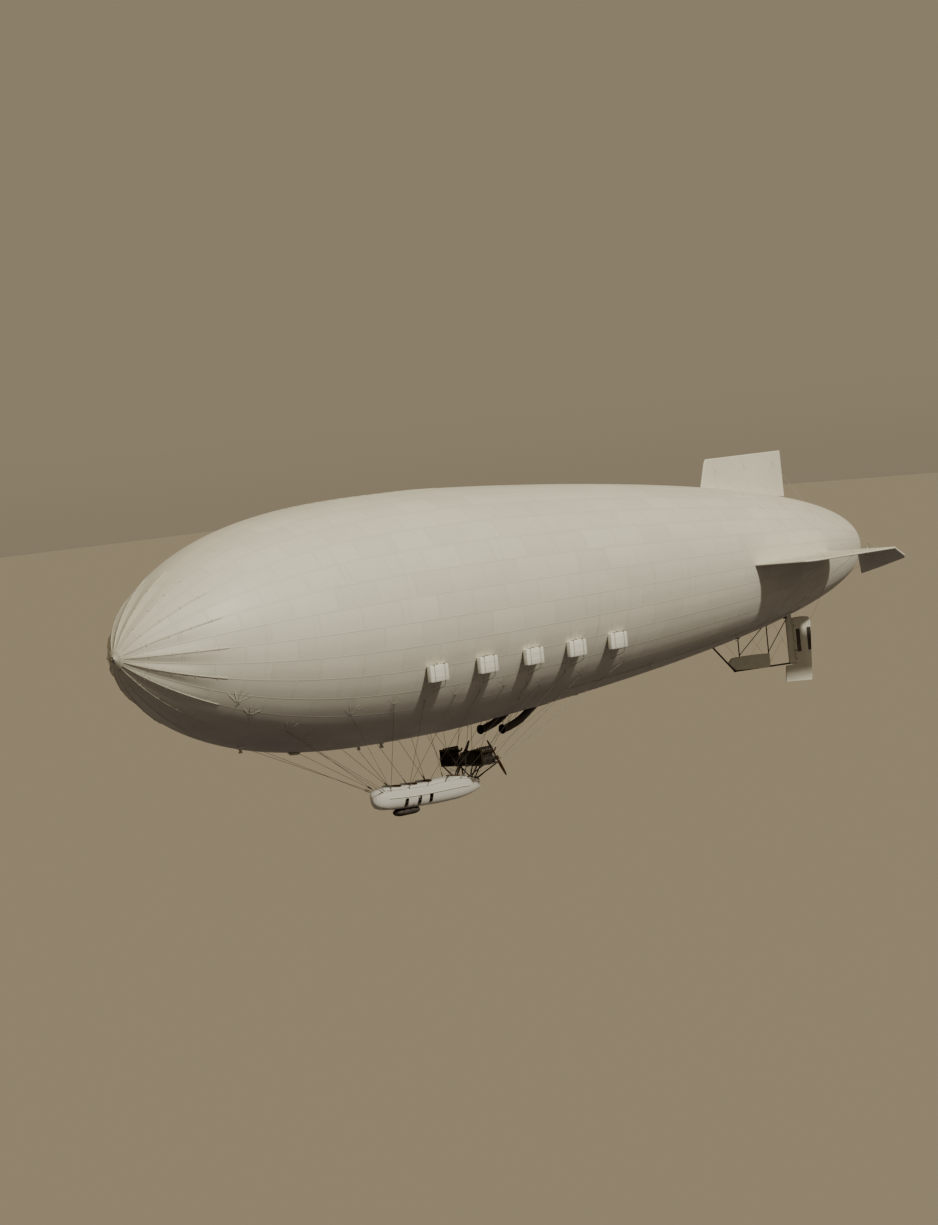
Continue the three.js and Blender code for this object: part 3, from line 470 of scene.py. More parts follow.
class Kit:
    """Collects the faces of one piece in real metres, with a material number for each face."""

    def __init__(self):
        self.verts = []
        self.faces = []
        self.marks = []

    def grow(self, verts, faces, mark=0):
        base = len(self.verts)
        self.verts.extend(Vector(v) for v in verts)
        self.faces.extend(tuple(base + i for i in face) for face in faces)
        self.marks.extend([mark] * len(faces))

    def loft(self, rings, mark=0, ends=True, loop=False):
        """A skin through closed rings of equal point counts."""
        count = len(rings[0])
        spans = len(rings) if loop else len(rings) - 1
        faces = []
        for r in range(spans):
            a, b = r * count, (r + 1) % len(rings) * count
            for i in range(count):
                j = (i + 1) % count
                faces.append((a + i, a + j, b + j, b + i))
        if ends and not loop:
            last = (len(rings) - 1) * count
            faces.append(tuple(reversed(range(count))))
            faces.append(tuple(last + i for i in range(count)))
        self.grow([p for ring in rings for p in ring], faces, mark)

    def tube(self, points, radius, sides=8, mark=0, loop=False, flat=1.0):
        """A round or flattened rod along points, with one radius or one for each point."""
        points = [Vector(p) for p in points]
        count = len(points)
        radii = radius if isinstance(radius, (list, tuple)) else [radius] * count
        rings = []
        side = None
        for i, point in enumerate(points):
            before = points[(i - 1) % count] if loop or i else point
            after = points[(i + 1) % count] if loop or i < count - 1 else point
            way = (after - before).normalized()
            if side is None:
                side, _ = square_to(way)
            side = (side - way * side.dot(way)).normalized()
            up = way.cross(side)
            ring = []
            for turn in turns(sides):
                ring.append(point + side * cos(turn) * radii[i] + up * sin(turn) * radii[i] * flat)
            rings.append(ring)
        self.loft(rings, mark, ends=True, loop=loop)

    def spin(self, origin, axis, profile, sides=20, mark=0):
        """A turned part: profile rows are (distance along the axis, radius), closed by flat ends."""
        origin, axis = Vector(origin), Vector(axis).normalized()
        side, up = square_to(axis)
        rings = []
        for along, radius in profile:
            ring = []
            for turn in turns(sides):
                ring.append(origin + axis * along + (side * cos(turn) + up * sin(turn)) * max(radius, 1e-4))
            rings.append(ring)
        self.loft(rings, mark)

    def block(self, low, high, bevel=0.01, mark=0):
        """A box with rounded edges between two corners."""
        lo, hi = Vector(low), Vector(high)
        bevel = min(bevel, *[abs(hi[i] - lo[i]) * 0.45 for i in range(3)])
        steps = 2
        arc = [pi / 2 * k / steps for k in range(steps + 1)]
        rings = []
        rows = [(lo.x + bevel * (1 - sin(a)), bevel * (1 - cos(a))) for a in arc[::-1]]
        rows += [(hi.x - bevel * (1 - sin(a)), bevel * (1 - cos(a))) for a in arc]
        for s, inset in rows:
            y0, y1, z0, z1 = lo.y + inset, hi.y - inset, lo.z + inset, hi.z - inset
            corner = bevel - inset * 0.5
            ring = []
            for cy, cz, start in ((y1, z1, 0), (y0, z1, 1), (y0, z0, 2), (y1, z0, 3)):
                for a in arc:
                    t = a + start * pi / 2
                    oy = cy - copysign(corner, cos(start * pi / 2 + pi / 4))
                    oz = cz - copysign(corner, sin(start * pi / 2 + pi / 4))
                    ring.append(Vector((s, oy + corner * cos(t), oz + corner * sin(t))))
            rings.append(ring)
        self.loft(rings, mark)

    def slab(self, front, rear, middle, half, low, high, bevel=0.01, mark=0):
        """A box from front to rear and low to high, with the same width on both sides of its middle."""
        self.block((front, middle - half, low), (rear, middle + half, high), bevel, mark)

    def move(self, change):
        self.verts = [change(v) for v in self.verts]

    def build(self, name, materials, slot, body="airship", sharp=38.0, stands_for=(), weld=False):
        mesh = bpy.data.meshes.new(name)
        mesh.from_pydata([place(v) for v in self.verts], [], self.faces)
        for key in materials:
            mesh.materials.append(MAT[key])
        mesh.polygons.foreach_set("material_index", self.marks)
        work = bmesh.new()
        work.from_mesh(mesh)
        if weld:
            bmesh.ops.remove_doubles(work, verts=work.verts, dist=2e-5)
            bmesh.ops.dissolve_degenerate(work, edges=work.edges, dist=1e-6)
        bmesh.ops.recalc_face_normals(work, faces=work.faces)
        work.to_mesh(mesh)
        work.free()
        mesh.shade_smooth()
        mesh.set_sharp_from_angle(angle=radians(sharp))
        piece = bpy.data.objects.new(name, mesh)
        bpy.context.scene.collection.objects.link(piece)
        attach(piece, body)
        if stands_for:
            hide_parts(*stands_for)
        return piece


def curve_through(points, steps=8):
    """Points along a smooth line through the given ones."""
    points = [Vector(p) for p in points]
    out = []
    for i in range(len(points) - 1):
        a = points[max(i - 1, 0)]
        b, c = points[i], points[i + 1]
        d = points[min(i + 2, len(points) - 1)]
        for k in range(steps):
            t = k / steps
            out.append(0.5 * ((2 * b) + (c - a) * t + (2 * a - 5 * b + 4 * c - d) * t * t
                              + (3 * b - a - 3 * c + d) * t * t * t))
    out.append(points[-1])
    return out


def bolt_circle(kit, centre, axis, radius, count, size, mark=0):
    """Six-sided bolt heads round a centre."""
    centre, axis = Vector(centre), Vector(axis).normalized()
    side, up = square_to(axis)
    for turn in turns(count):
        spot = centre + (side * cos(turn) + up * sin(turn)) * radius
        kit.spin(spot, axis, [(0, size), (size * 0.9, size), (size * 1.1, size * 0.7)], 6, mark)


# Envelope


def radius_at(station):
    share = min(max(station / LENGTH, 0.0), 1.0)
    if share < WIDEST:
        t = (WIDEST - share) / WIDEST
        return RADIUS * (1 - t ** NOSE_POWERS[0]) ** NOSE_POWERS[1]
    t = (share - WIDEST) / (1 - WIDEST)
    return RADIUS * max(1 - t ** TAIL_POWERS[0], 0.0) ** TAIL_POWERS[1]


def skin_radius(station, angle):
    """Envelope radius with the folds between the nose battens and a slight fullness between gore seams."""
    base = radius_at(station) - SKIN_INSET
    fold = min(0.055 * base, FOLD_DEPTH) * smooth_step(0.05, 0.5,
        station) * (1 - smooth_step(1.2, 4.6, station))
    between = sin(angle * BATTEN_COUNT / 2) ** 2
    uneven = 0.62 + 0.38 * sin(angle * 3 + 2.4)
    full = GORE_FULLNESS * (abs(cos(angle * GORES / 2)) - 0.5) * smooth_step(3.0, 9.0, station)
    return max(base - fold * between * uneven - full * (1 - smooth_step(54.0, 59.0, station)), 0.0)


def on_skin(station, angle, lift=0.0):
    """Point on the envelope: angle 0 is to port and 90 degrees is up."""
    r = skin_radius(station, angle) + lift
    return Vector((station, r * cos(angle), r * sin(angle)))


def bottom_angle(degrees, side):
    """Envelope angle of a point that many degrees up from the bottom, on one side."""
    return radians(-90 + side * degrees)


def make_envelope():
    around, along = 256, 150
    kit = Kit()
    rings = []
    for i in range(1, along):
        station = LENGTH * (1 - cos(pi * i / along)) / 2
        rings.append([on_skin(station, turn) for turn in turns(around)])
    kit.loft(rings, ends=False)
    tips = [Vector((0, 0, 0)), Vector((LENGTH, 0, 0))]
    base = len(kit.verts)
    kit.grow(tips, [])
    last = (along - 2) * around
    for k in range(around):
        j = (k + 1) % around
        kit.faces.append((base, j, k))
        kit.faces.append((base + 1, last + k, last + j))
        kit.marks += [0, 0]
    kit.build("envelope_skin", ["envelope"], "envelope_fabric", sharp=60, stands_for=["envelope"])


def skin_strip(kit, line, half, lift=0.006, mark=0, taper=None):
    """A thin band of cloth laid on the envelope along a line of (station, angle)."""
    points = [on_skin(s, a) for s, a in line]
    rings = []
    for i, (s, a) in enumerate(line):
        before, after = points[max(i - 1, 0)], points[min(i + 1, len(points) - 1)]
        way = (after - before).normalized()
        out = Vector((0, cos(a), sin(a)))
        across = way.cross(out).normalized()
        width = half * (taper[i] if taper else 1.0)
        ring = []
        for side, height in ((-1, -0.01), (-1, lift * 0.6), (-0.5, lift), (0.5, lift), (1, lift * 0.6),
                             (1, -0.01)):
            ring.append(points[i] + across * side * width + out * height)
        rings.append(ring)
    kit.loft(rings, mark)


def make_nose():
    kit = Kit()
    stations = (0.09, 0.2, 0.4, 0.7, 1.1, 1.6, 2.2, 2.8, 3.4, 3.9, 4.02)
    taper = [0.35, 0.6, 0.8, 1, 1, 1, 1, 1, 1, 0.9, 0.5]
    for angle in turns(BATTEN_COUNT):
        line = [(s, angle) for s in stations]
        skin_strip(kit, line, 0.070, 0.010, 1, taper)
        skin_strip(kit, line[:-1], 0.036, 0.038, 0, taper[:-1])
        for s in (0.9, 1.7, 2.6, 3.5):
            step = 0.07 / radius_at(s)
            skin_strip(kit, [(s, angle - step), (s, angle), (s, angle + step)], 0.022, 0.044, 1)
    cap = [(-0.10, 0.10), (-0.05, 0.16), (0.00, 0.30), (0.05, 0.42), (0.12, 0.52), (0.135, 0.50),
           (0.10, 0.30)]
    kit.spin((0, 0, 0), AFT, cap, 48, 2)
    bolt_circle(kit, (0.03, 0, 0), FORWARD, 0.36, 16, 0.016, 3)
    spindle = [(-0.236, 0.045), (-0.238, 0.062), (-0.225, 0.070), (-0.175, 0.070), (-0.172, 0.125),
               (-0.160, 0.132), (-0.128, 0.132), (-0.118, 0.125), (-0.115, 0.078), (-0.02, 0.085)]
    kit.spin((0, 0, 0), AFT, spindle, 36, 3)
    kit.build("nose_fitting", ["batten", "tape", "tape", "steel"], "nose_wood", stands_for=["nose_cap"])


# Fabric-covered surfaces

CLOTH_SAG = 0.010


def ruled_surface(kit, rows, put, thick, rib=0.0, spar=0.0, counts=(26, 26), tip=True):
    """Two cloth sides over ribs, from rows of (distance out, front, rear). put() places a point."""
    fronts = [(v, f) for v, f, _ in rows]
    rears = [(v, r) for v, _, r in rows]
    half = thick / 2
    edge = [half * k for k in (0.0, 0.08, 0.3, 0.62, 1.0)]
    low, high = rows[0][0], rows[-1][0]
    outs = [low + (high - (half if tip else 0) - low) * k / counts[1] for k in range(counts[1] + 1)]
    if tip:
        outs += [high - half + d for d in edge[1:]]
        outs = sorted(set(round(v, 5) for v in outs + [high - d for d in edge]))
    outs = sorted(set(outs + [round(v, 5) for v, _, _ in rows]))
    top, bottom = [], []
    for v in outs:
        front, rear = lerp_table(fronts, v), lerp_table(rears, v)
        chord = max(rear - front, 1e-3)
        rim = min(1.0, chord / (2.2 * half))
        inner = [half * rim + (chord - 2 * half * rim) * k / counts[0] for k in range(1, counts[0])]
        along = [d * rim for d in edge] + inner + [chord - d * rim for d in reversed(edge)]
        line_up, line_down = [], []
        for u in along:
            gap = min(u, chord - u) / rim
            if tip:
                gap = min(gap, high - v)
            rise = half * sqrt(max(1 - (1 - min(gap / half, 1.0)) ** 2, 0.0))
            dip = 0.0
            if gap > half:
                station = front + u
                wave = abs(sin(pi * (v - low) / rib)) ** 0.7 if rib else 1.0
                wave *= abs(sin(pi * (rear - station) / spar)) ** 0.7 if spar else 1.0
                dip = CLOTH_SAG * wave * min((gap - half) / 0.15, 1.0)
            line_up.append(put(front + u, v, rise - dip))
            line_down.append(put(front + u, v, -(rise - dip)))
        top.append(line_up)
        bottom.append(line_down)
    count = len(top[0])
    verts = [p for line in top + bottom for p in line]
    size = len(top) * count
    faces = []
    for r in range(len(top) - 1):
        for i in range(count - 1):
            a, b = r * count + i, (r + 1) * count + i
            faces.append((a, a + 1, b + 1, b))
            faces.append((size + a, size + b, size + b + 1, size + a + 1))
    for r in (0, len(top) - 1):
        for i in range(count - 1):
            a = r * count + i
            faces.append((a, size + a, size + a + 1, a + 1) if r == 0
                         else (a, a + 1, size + a + 1, size + a))
    kit.grow(verts, faces)


FIN_THICK = 0.12
HINGE_STATION = 53.60
RUDDER_HINGE = 53.94
RUDDER_REAR = RUDDER_HINGE + 1.78
FIN_TOP = 6.10
STABILISER_TIP = 8.10
TRAILING = HINGE_STATION - FIN_THICK / 2 - 0.025
ELEVATOR_CHORD = 3.03
ELEVATOR_TIP_CHORD = 1.36
ELEVATOR_ROOT = 5.40
ELEVATOR_HEEL = 3.75
ELEVATOR_HORN = 6.1
RUDDER_HORN = -5.7
ELEVATOR_DROOP = radians(30)
ELEVATOR_LUGS = (5.6, 6.6, 7.6)
RUDDER_LUGS = (-6.2, -5.2, -4.25)
LOWER_RAIL = -6.42
POST_FRONT = RUDDER_HINGE - 0.62
POST_REAR = RUDDER_HINGE - FIN_THICK / 2 - 0.025
FOOT_TOP = LOWER_RAIL - 0.10
LUG_SLOT = 0.060
NOTCH = {"depth": 0.085, "flat": 0.05, "reach": 0.11}


def hinge_line(kit, lugs, low, high, at, radius, mark):
    """Hinge tube in lengths between the lugs, with its pins."""
    stops = [low] + [v for lug in lugs for v in (lug - LUG_SLOT / 2, lug + LUG_SLOT / 2)] + [high]
    for a, b in zip(stops[::2], stops[1::2]):
        radii = [radius * 0.9, radius, radius, radius * 0.9]
        kit.tube([at(a), at(a + 0.01), at(b - 0.01), at(b)], radii, 16, mark)
    for lug in lugs:
        kit.tube([at(lug - LUG_SLOT), at(lug + LUG_SLOT)], 0.012, 10, mark)


def root_flap(kit, start, end, angle, mark):
    """Two cloth strips that seal a fin's root against the envelope."""
    count = 24
    for offset in (-0.13, 0.13):
        line = []
        for k in range(count + 1):
            s = start + (end - start) * k / count
            line.append((s, angle + offset / radius_at(s)))
        skin_strip(kit, line, 0.09, 0.008, mark)


def make_upper_fin():
    kit = Kit()
    rows = [(3.4, 54.1, 54.29), (4.2, 46.35, 54.28), (FIN_TOP - 0.25, 46.95, 54.26), (FIN_TOP, 47.15, 54.25)]
    ruled_surface(kit, rows, lambda s, v, t: (s, t, v), FIN_THICK, rib=0.475, spar=1.10, counts=(44, 26))
    root_flap(kit, 46.4, 54.2, pi / 2, 1)
    kit.build("upper_fin_cloth", ["fin", "tape"], "fin_fabric", stands_for=["upper_fin"], weld=True)


def make_stabiliser(label, side):
    kit = Kit()
    rows = [(3.2, 53.4, TRAILING), (4.0, 44.72, TRAILING), (4.78, 44.72, TRAILING),
            (STABILISER_TIP - 0.45, 45.50, TRAILING), (STABILISER_TIP, 46.10, TRAILING)]
    ruled_surface(kit, rows, lambda s, v, t: (s, side * v, t), FIN_THICK, rib=0.55, spar=1.15,
                  counts=(44, 40))
    for y in ELEVATOR_LUGS:
        lug_plate(kit, TRAILING - 0.12, HINGE_STATION, lambda s, t, w, y=y: (s, side * y + w, t))
    root_flap(kit, 44.9, 53.4, 0.0 if side > 0 else pi, 1)
    kit.build(f"{label}_stabiliser_cloth", ["fin", "tape", "steel"], "fin_fabric",
              stands_for=[f"{label}_stabiliser"], weld=True)


def lug_plate(kit, root, hinge, at):
    """Thin hinge lug with a round eye. at() takes station, height and thickness offset."""
    eye, half = 0.028, 0.007
    outline = [(root, -0.026), (hinge, -eye)]
    outline += [(hinge + eye * sin(pi * k / 8), -eye * cos(pi * k / 8)) for k in range(1, 8)]
    outline += [(hinge, eye), (root, 0.026)]
    kit.loft([[at(s, t, w) for s, t in outline] for w in (-half, half)], 2)


def notch(s, along, lugs, front):
    """Keeps the cloth's front edge behind the hinge slots."""
    for lug in lugs:
        away = abs(along - lug)
        if away < NOTCH["reach"]:
            s = max(s, front + NOTCH["depth"] * (1 - smooth_step(NOTCH["flat"], NOTCH["reach"], away)))
    return s


def horn(kit, axis, at, stay=None):
    """Control horn with an eye at each end. at() places a reach, and stay() gives a brace's far end."""
    kit.tube([at(reach) for reach in (-0.38, -0.06, 0.06, 0.38)], [0.012, 0.026, 0.026, 0.012], 10, 1)
    for reach in (-0.36, 0.36):
        kit.spin(at(reach), axis, [(-0.014, 0.03), (0.014, 0.03)], 12, 1)
        if stay:
            kit.tube([at(reach * 0.9), stay(reach)], 0.007, 5, 1)


def droop(point):
    """Turns a level elevator's point down about the hinge."""
    s, y, z = point
    ds = s - HINGE_STATION
    return Vector((HINGE_STATION + ds * cos(ELEVATOR_DROOP) + z * sin(ELEVATOR_DROOP), y,
                   z * cos(ELEVATOR_DROOP) - ds * sin(ELEVATOR_DROOP)))


def make_elevator(label, side):
    kit = Kit()
    rear = HINGE_STATION + ELEVATOR_CHORD
    front = HINGE_STATION + 0.02
    tip = HINGE_STATION + ELEVATOR_TIP_CHORD
    heel, root, end = ELEVATOR_HEEL, ELEVATOR_ROOT, STABILISER_TIP
    rows = [(heel, rear - 0.12, rear - 0.02), (root, front, rear - 0.67), (end - 0.35, front, tip),
            (end - 0.15, front, tip - 0.12), (end, front, tip - 0.36)]
    cut = [side * y for y in ELEVATOR_LUGS]
    ruled_surface(kit, rows, lambda s, v, t: (notch(s, side * v, cut, front), side * v, t), FIN_THICK,
                  rib=0.4833, spar=1.04, counts=(22, 60))
    hinge_line(kit, ELEVATOR_LUGS, ELEVATOR_ROOT, STABILISER_TIP, lambda v: (HINGE_STATION, side * v, 0),
               FIN_THICK / 2, 0)
    y = side * ELEVATOR_HORN
    horn(kit, PORT, lambda reach: (HINGE_STATION, y, reach),
         lambda reach: (HINGE_STATION + 1.04, y, copysign(0.055, reach)))
    kit.move(droop)
    kit.build(f"{label}_elevator_cloth", ["fin", "steel"], "fin_fabric", body=f"{label}_elevator",
              stands_for=[f"{label}_elevator"], weld=True)


def make_rudder():
    kit = Kit()
    rear = RUDDER_REAR
    front = RUDDER_HINGE + 0.02
    rows = [(-7.60, rear - 0.55, rear - 0.36), (-7.44, RUDDER_HINGE - 1.09, rear - 0.32),
            (FOOT_TOP - 0.02, RUDDER_HINGE - 0.96, rear - 0.24),
            (FOOT_TOP, RUDDER_HINGE - 0.94, rear - 0.24), (FOOT_TOP + 0.004, front, rear - 0.24),
            (-4.05, front, rear), (-3.86, front, rear - 0.22), (-3.78, front, rear - 0.9)]
    ruled_surface(kit, rows, lambda s, v, t: (notch(s, v, RUDDER_LUGS, front), t, v), FIN_THICK,
                  rib=0.4775, spar=0.775, counts=(24, 66))
    hinge_line(kit, RUDDER_LUGS, FOOT_TOP, -3.80, lambda v: (RUDDER_HINGE, 0, v), FIN_THICK / 2, 0)
    horn(kit, UP, lambda reach: (RUDDER_HINGE, reach, RUDDER_HORN))
    kit.build("rudder_cloth", ["rudder", "steel"], "fin_fabric", body="rudder", stands_for=["rudder"],
              weld=True)


FRAME_TUBES = [
    # from, to, radius
    ((46.0, 0, -4.51), (48.05, 0, LOWER_RAIL + 0.16), 0.045),
    ((48.05, 0, LOWER_RAIL + 0.16), (POST_REAR - 0.1, 0, LOWER_RAIL), 0.045),
    ((51.4, 0, LOWER_RAIL + 0.1), (51.4, 0, -3.75), 0.03),
    ((48.6, 0, LOWER_RAIL + 0.5), (48.6, 0, -4.2), 0.03),
    ((48.6, 0, -5.4), (51.4, 0, -3.8), 0.02),
    ((51.4, 0, -5.5), (53.6, 0, -3.6), 0.02),
]


def make_lower_fin():
    kit = Kit()
    for a, b, radius in FRAME_TUBES:
        a, b = Vector(a), Vector(b)
        kit.tube([a, b], radius, 14, 1)
        for end, way in ((a, b - a), (b, a - b)):
            way = way.normalized()
            radii = [radius * 1.35, radius * 1.3, radius * 1.02]
            kit.tube([end, end + way * 0.10, end + way * 0.12], radii, 12, 1)
    strip = [(-6.37, 50.6, 51.42), (-6.22, 48.12, 51.44), (-6.10, 47.93, 51.44), (-5.97, 47.76, 51.44),
             (-5.73, 47.48, 51.44), (-5.60, 47.66, 51.43), (-5.52, 47.78, 50.2), (-5.475, 47.9, 48.6)]
    ruled_surface(kit, strip, lambda s, v, t: (s, t, v), FIN_THICK, spar=0.62, counts=(44, 22))
    post = [(LOWER_RAIL, POST_FRONT, POST_REAR), (-3.6, POST_FRONT, POST_REAR),
            (-3.3, POST_FRONT, POST_REAR)]
    ruled_surface(kit, post, lambda s, v, t: (s, t, v), FIN_THICK, rib=0.46, counts=(12, 40), tip=False)
    for z in RUDDER_LUGS:
        lug_plate(kit, POST_REAR - 0.12, RUDDER_HINGE, lambda s, t, w, z=z: (s, t, z + w))
    for s, z in ((46.2, -4.66), (51.4, -3.95), (48.6, -4.4), (53.3, -3.72)):
        kit.spin((s, 0, z + 0.02), UP, [(-0.05, 0.13), (0.0, 0.11), (0.12, 0.06)], 16, 1)
    kit.build("lower_fin_frame", ["fin", "enamel", "steel"], "fin_fabric", stands_for=["lower_fin"],
              weld=True)


def make_fin_wires():
    """Bracing wires from the fins to the envelope, with their patches."""
    kit = Kit()
    wires = []  # end on the fin, station on the envelope and degrees round it
    for _, side in SIDES:
        for s, reach in ((47.8, 7.4), (50.4, 7.5), (53.0, 7.5)):
            for z, degrees in ((0.05, 90 - side * 38), (-0.05, -90 + side * 38)):
                wires.append(((s, side * reach, z), s + 0.2, degrees))
        for s in (47.8, 50.6, 53.4):
            wires.append(((s, side * 0.05, 5.5), s + 0.2, 90 - side * 52))
        for s, z in ((48.9, -6.0), (51.4, -6.1), (53.8, -6.1)):
            wires.append(((s, side * 0.05, z), s + 0.1, -90 + side * 52))
    for start, station, degrees in wires:
        a, b = Vector(start), on_skin(station, radians(degrees))
        kit.tube([a, b], 0.005, 5)
        way = (b - a).normalized()
        kit.tube([a, a + way * 0.06, a + way * 0.12, a + way * 0.26, a + way * 0.30],
                 [0.011, 0.014, 0.010, 0.010, 0.005], 8, 0)
        angle = atan2(b.z, b.y)
        pull = -sin(angle) * a.z if abs(a.z) > 2 else sin(angle)
        for turn in (-0.5, 0.0, 0.5):
            line = []
            for k in range(5):
                reach = 0.05 + 0.42 * k / 4
                out = angle + copysign(reach * cos(turn), pull) / radius_at(b.x)
                line.append((b.x + reach * sin(turn), out))
            skin_strip(kit, line, 0.04, 0.005, 1, [1.3, 1.1, 1, 1, 0.6])
    kit.build("fin_bracing", ["tinned_wire", "tape"], "steel_cable")


# Fuel tanks

TANK = {"first": 15.46, "pitch": 3.72, "count": 5, "length": 1.36, "height": 0.86, "depth": 0.28,
        "top": -2.30}


def flank_point(station, z, side, radius, lift=0.0):
    """Point on one side of the envelope at a height, where its radius is known."""
    return on_skin(station, atan2(z, side * sqrt(max(radius ** 2 - z ** 2, 0))), lift)


def make_tank(label, side, index):
    kit = Kit()
    front = TANK["first"] + index * TANK["pitch"]
    rear = front + TANK["length"]
    top = TANK["top"]
    low = top - TANK["height"]
    near = min(radius_at(front), radius_at(rear))
    inner = sqrt(near ** 2 - top ** 2) + 0.012
    outer = inner + TANK["depth"]

    def slab(s0, s1, y0, y1, z0, z1, bevel, mark):
        a, b = sorted((side * y0, side * y1))
        kit.block((s0, a, z0), (s1, b, z1), bevel, mark)

    slab(front, rear, inner, outer, low, top, 0.05, 0)
    slab(front + 0.05, rear - 0.05, outer - 0.02, outer + 0.006, low + 0.06, top - 0.06, 0.004, 0)
    for z in (top - 0.28, low + 0.28):
        slab(front + 0.09, rear - 0.09, outer, outer + 0.012, z - 0.02, z + 0.02, 0.011, 0)
    for s in (front + 0.30, rear - 0.30):
        slab(s - 0.028, s + 0.028, inner - 0.01, outer + 0.014, low - 0.010, top + 0.010, 0.006, 1)
        angle = atan2(top, side * inner)
        up = 1 if side > 0 else -1
        line = [(s, angle + up * (0.02 + 0.55 * k / 6) / near) for k in range(7)]
        skin_strip(kit, line, 0.04, 0.006, 3, [1, 1, 1.2, 1.6, 1.7, 1.7, 1.5])
        buckle = side * (outer - 0.03)
        kit.slab(s - 0.045, s + 0.045, buckle, 0.05, top - 0.005, top + 0.03, 0.01, 2)
        strap = [(s, side * (inner + 0.05), low), flank_point(s, low - 0.35, side, near)]
        kit.tube(strap, 0.014, 8, 1, flat=0.4)
    middle = (front + rear) / 2
    y = side * (inner + outer) / 2
    cap = [(0, 0.075), (0.02, 0.075), (0.022, 0.055), (0.05, 0.055), (0.056, 0.045)]
    kit.spin((middle, y, top - 0.005), UP, cap, 20, 2)
    tap = [(0, 0.035), (0.03, 0.035), (0.032, 0.02), (0.07, 0.02)]
    kit.spin((rear - 0.18, y, low + 0.005), DOWN, tap, 12, 2)
    drop = [(rear - 0.18, y, low - 0.05), (rear - 0.18, y * 0.985, low - 0.25),
            flank_point(rear - 0.18, low - 0.55, side, near, 0.02)]
    kit.tube(curve_through(drop, 5), 0.012, 8, 2)
    name = f"{label}_tank_{index + 1}"
    kit.build(f"{name}_shell", ["tank", "webbing", "dull", "tape"], "tank_paint", stands_for=[name])


# Air scoops and belly fittings

SCOOP = {"y": 0.78, "mouth": 26.50, "z": -6.82, "radius": 0.20, "wall": 0.02}
SCOOP_RISE = [
    # distance aft of the mouth, height above it
    (0.0, 0.0),
    (0.12, 0.0),
    (0.50, 0.05),
    (1.42, 0.29),
    (2.34, 0.72),
    (3.60, 1.40),
]


def make_scoop(label, side):
    kit = Kit()
    mouth, z = SCOOP["mouth"], SCOOP["z"]
    y = side * SCOOP["y"]
    path = curve_through([(mouth + aft, y, z + rise) for aft, rise in SCOOP_RISE], 10)
    length = 0.0
    outer, inner = [], []
    for i, point in enumerate(path):
        if i:
            length += (point - path[i - 1]).length
        flare = 0.055 * (1 - smooth_step(0.0, 0.14, length))
        hoop = 0.012 * max(0.0, 1 - abs((length - 0.3) % 0.55 - 0.275) / 0.06) if length > 0.2 else 0
        outer.append(SCOOP["radius"] + flare + hoop)
        inner.append(SCOOP["radius"] + flare - SCOOP["wall"])
    kit.tube(path, outer, 28)
    base = len(kit.faces)
    # the inner wall is black: painted shade down the scoop's throat
    kit.tube(path, inner, 28, 1)
    # open the mouths of both tubes
    for index in (len(kit.faces) - 2, base - 2):
        del kit.faces[index]
        del kit.marks[index]
    lip = [path[0] + Vector((0, cos(turn), sin(turn))) * (SCOOP["radius"] + 0.045) for turn in turns(32)]
    kit.tube(lip, 0.014, 8, 2, loop=True)
    for turn in (0.0, pi / 2):
        bar = Vector((0, cos(turn), sin(turn))) * (SCOOP["radius"] + 0.02)
        kit.tube([path[2] - bar, path[2] + bar], 0.008, 6, 2)
    for s, reach in ((mouth + 0.25, 0.9), (mouth + 0.7, 0.9)):
        for out in (-1, 1):
            top = on_skin(s + 0.3, atan2(-6.1, y + out * reach * 0.4), 0.0)
            kit.tube([(s, y + out * 0.15, z + 0.16), top], 0.008, 5, 3)
    kit.build(f"{label}_scoop_sleeve", ["canvas", "black", "iron", "cable"], "scoop_canvas",
              stands_for=[f"{label}_air_scoop"])


VALVES = (("forward_valve", 11.5), ("aft_valve", 33.5))


def make_valve(name, station):
    kit = Kit()
    z = -radius_at(station)
    profile = [(-0.02, 0.34), (0.012, 0.34), (0.016, 0.27), (0.085, 0.26), (0.10, 0.24), (0.10, 0.19),
               (0.085, 0.17), (0.085, 0.06), (0.115, 0.05), (0.12, 0.02)]
    kit.spin((station, 0, z), DOWN, profile, 40)
    bolt_circle(kit, (station, 0, z - 0.012), DOWN, 0.305, 20, 0.010, 1)
    hub = Vector((station, 0, z - 0.092))
    for k in range(6):
        turn = pi * k / 3
        arm = Vector((cos(turn), sin(turn), 0))
        kit.tube([hub + arm * 0.05, hub + arm * 0.2], 0.009, 6, 1)
    kit.build(f"{name}_housing", ["dull", "steel"], "valve_paint", stands_for=[name])


SLEEVE_ROWS = [
    # distance below the belly, radius
    (-0.05, 0.20),
    (0.02, 0.17),
    (0.08, 0.13),
    (0.13, 0.055),
    (0.16, 0.05),
    (0.20, 0.075),
    (0.26, 0.10),
    (0.29, 0.085),
]


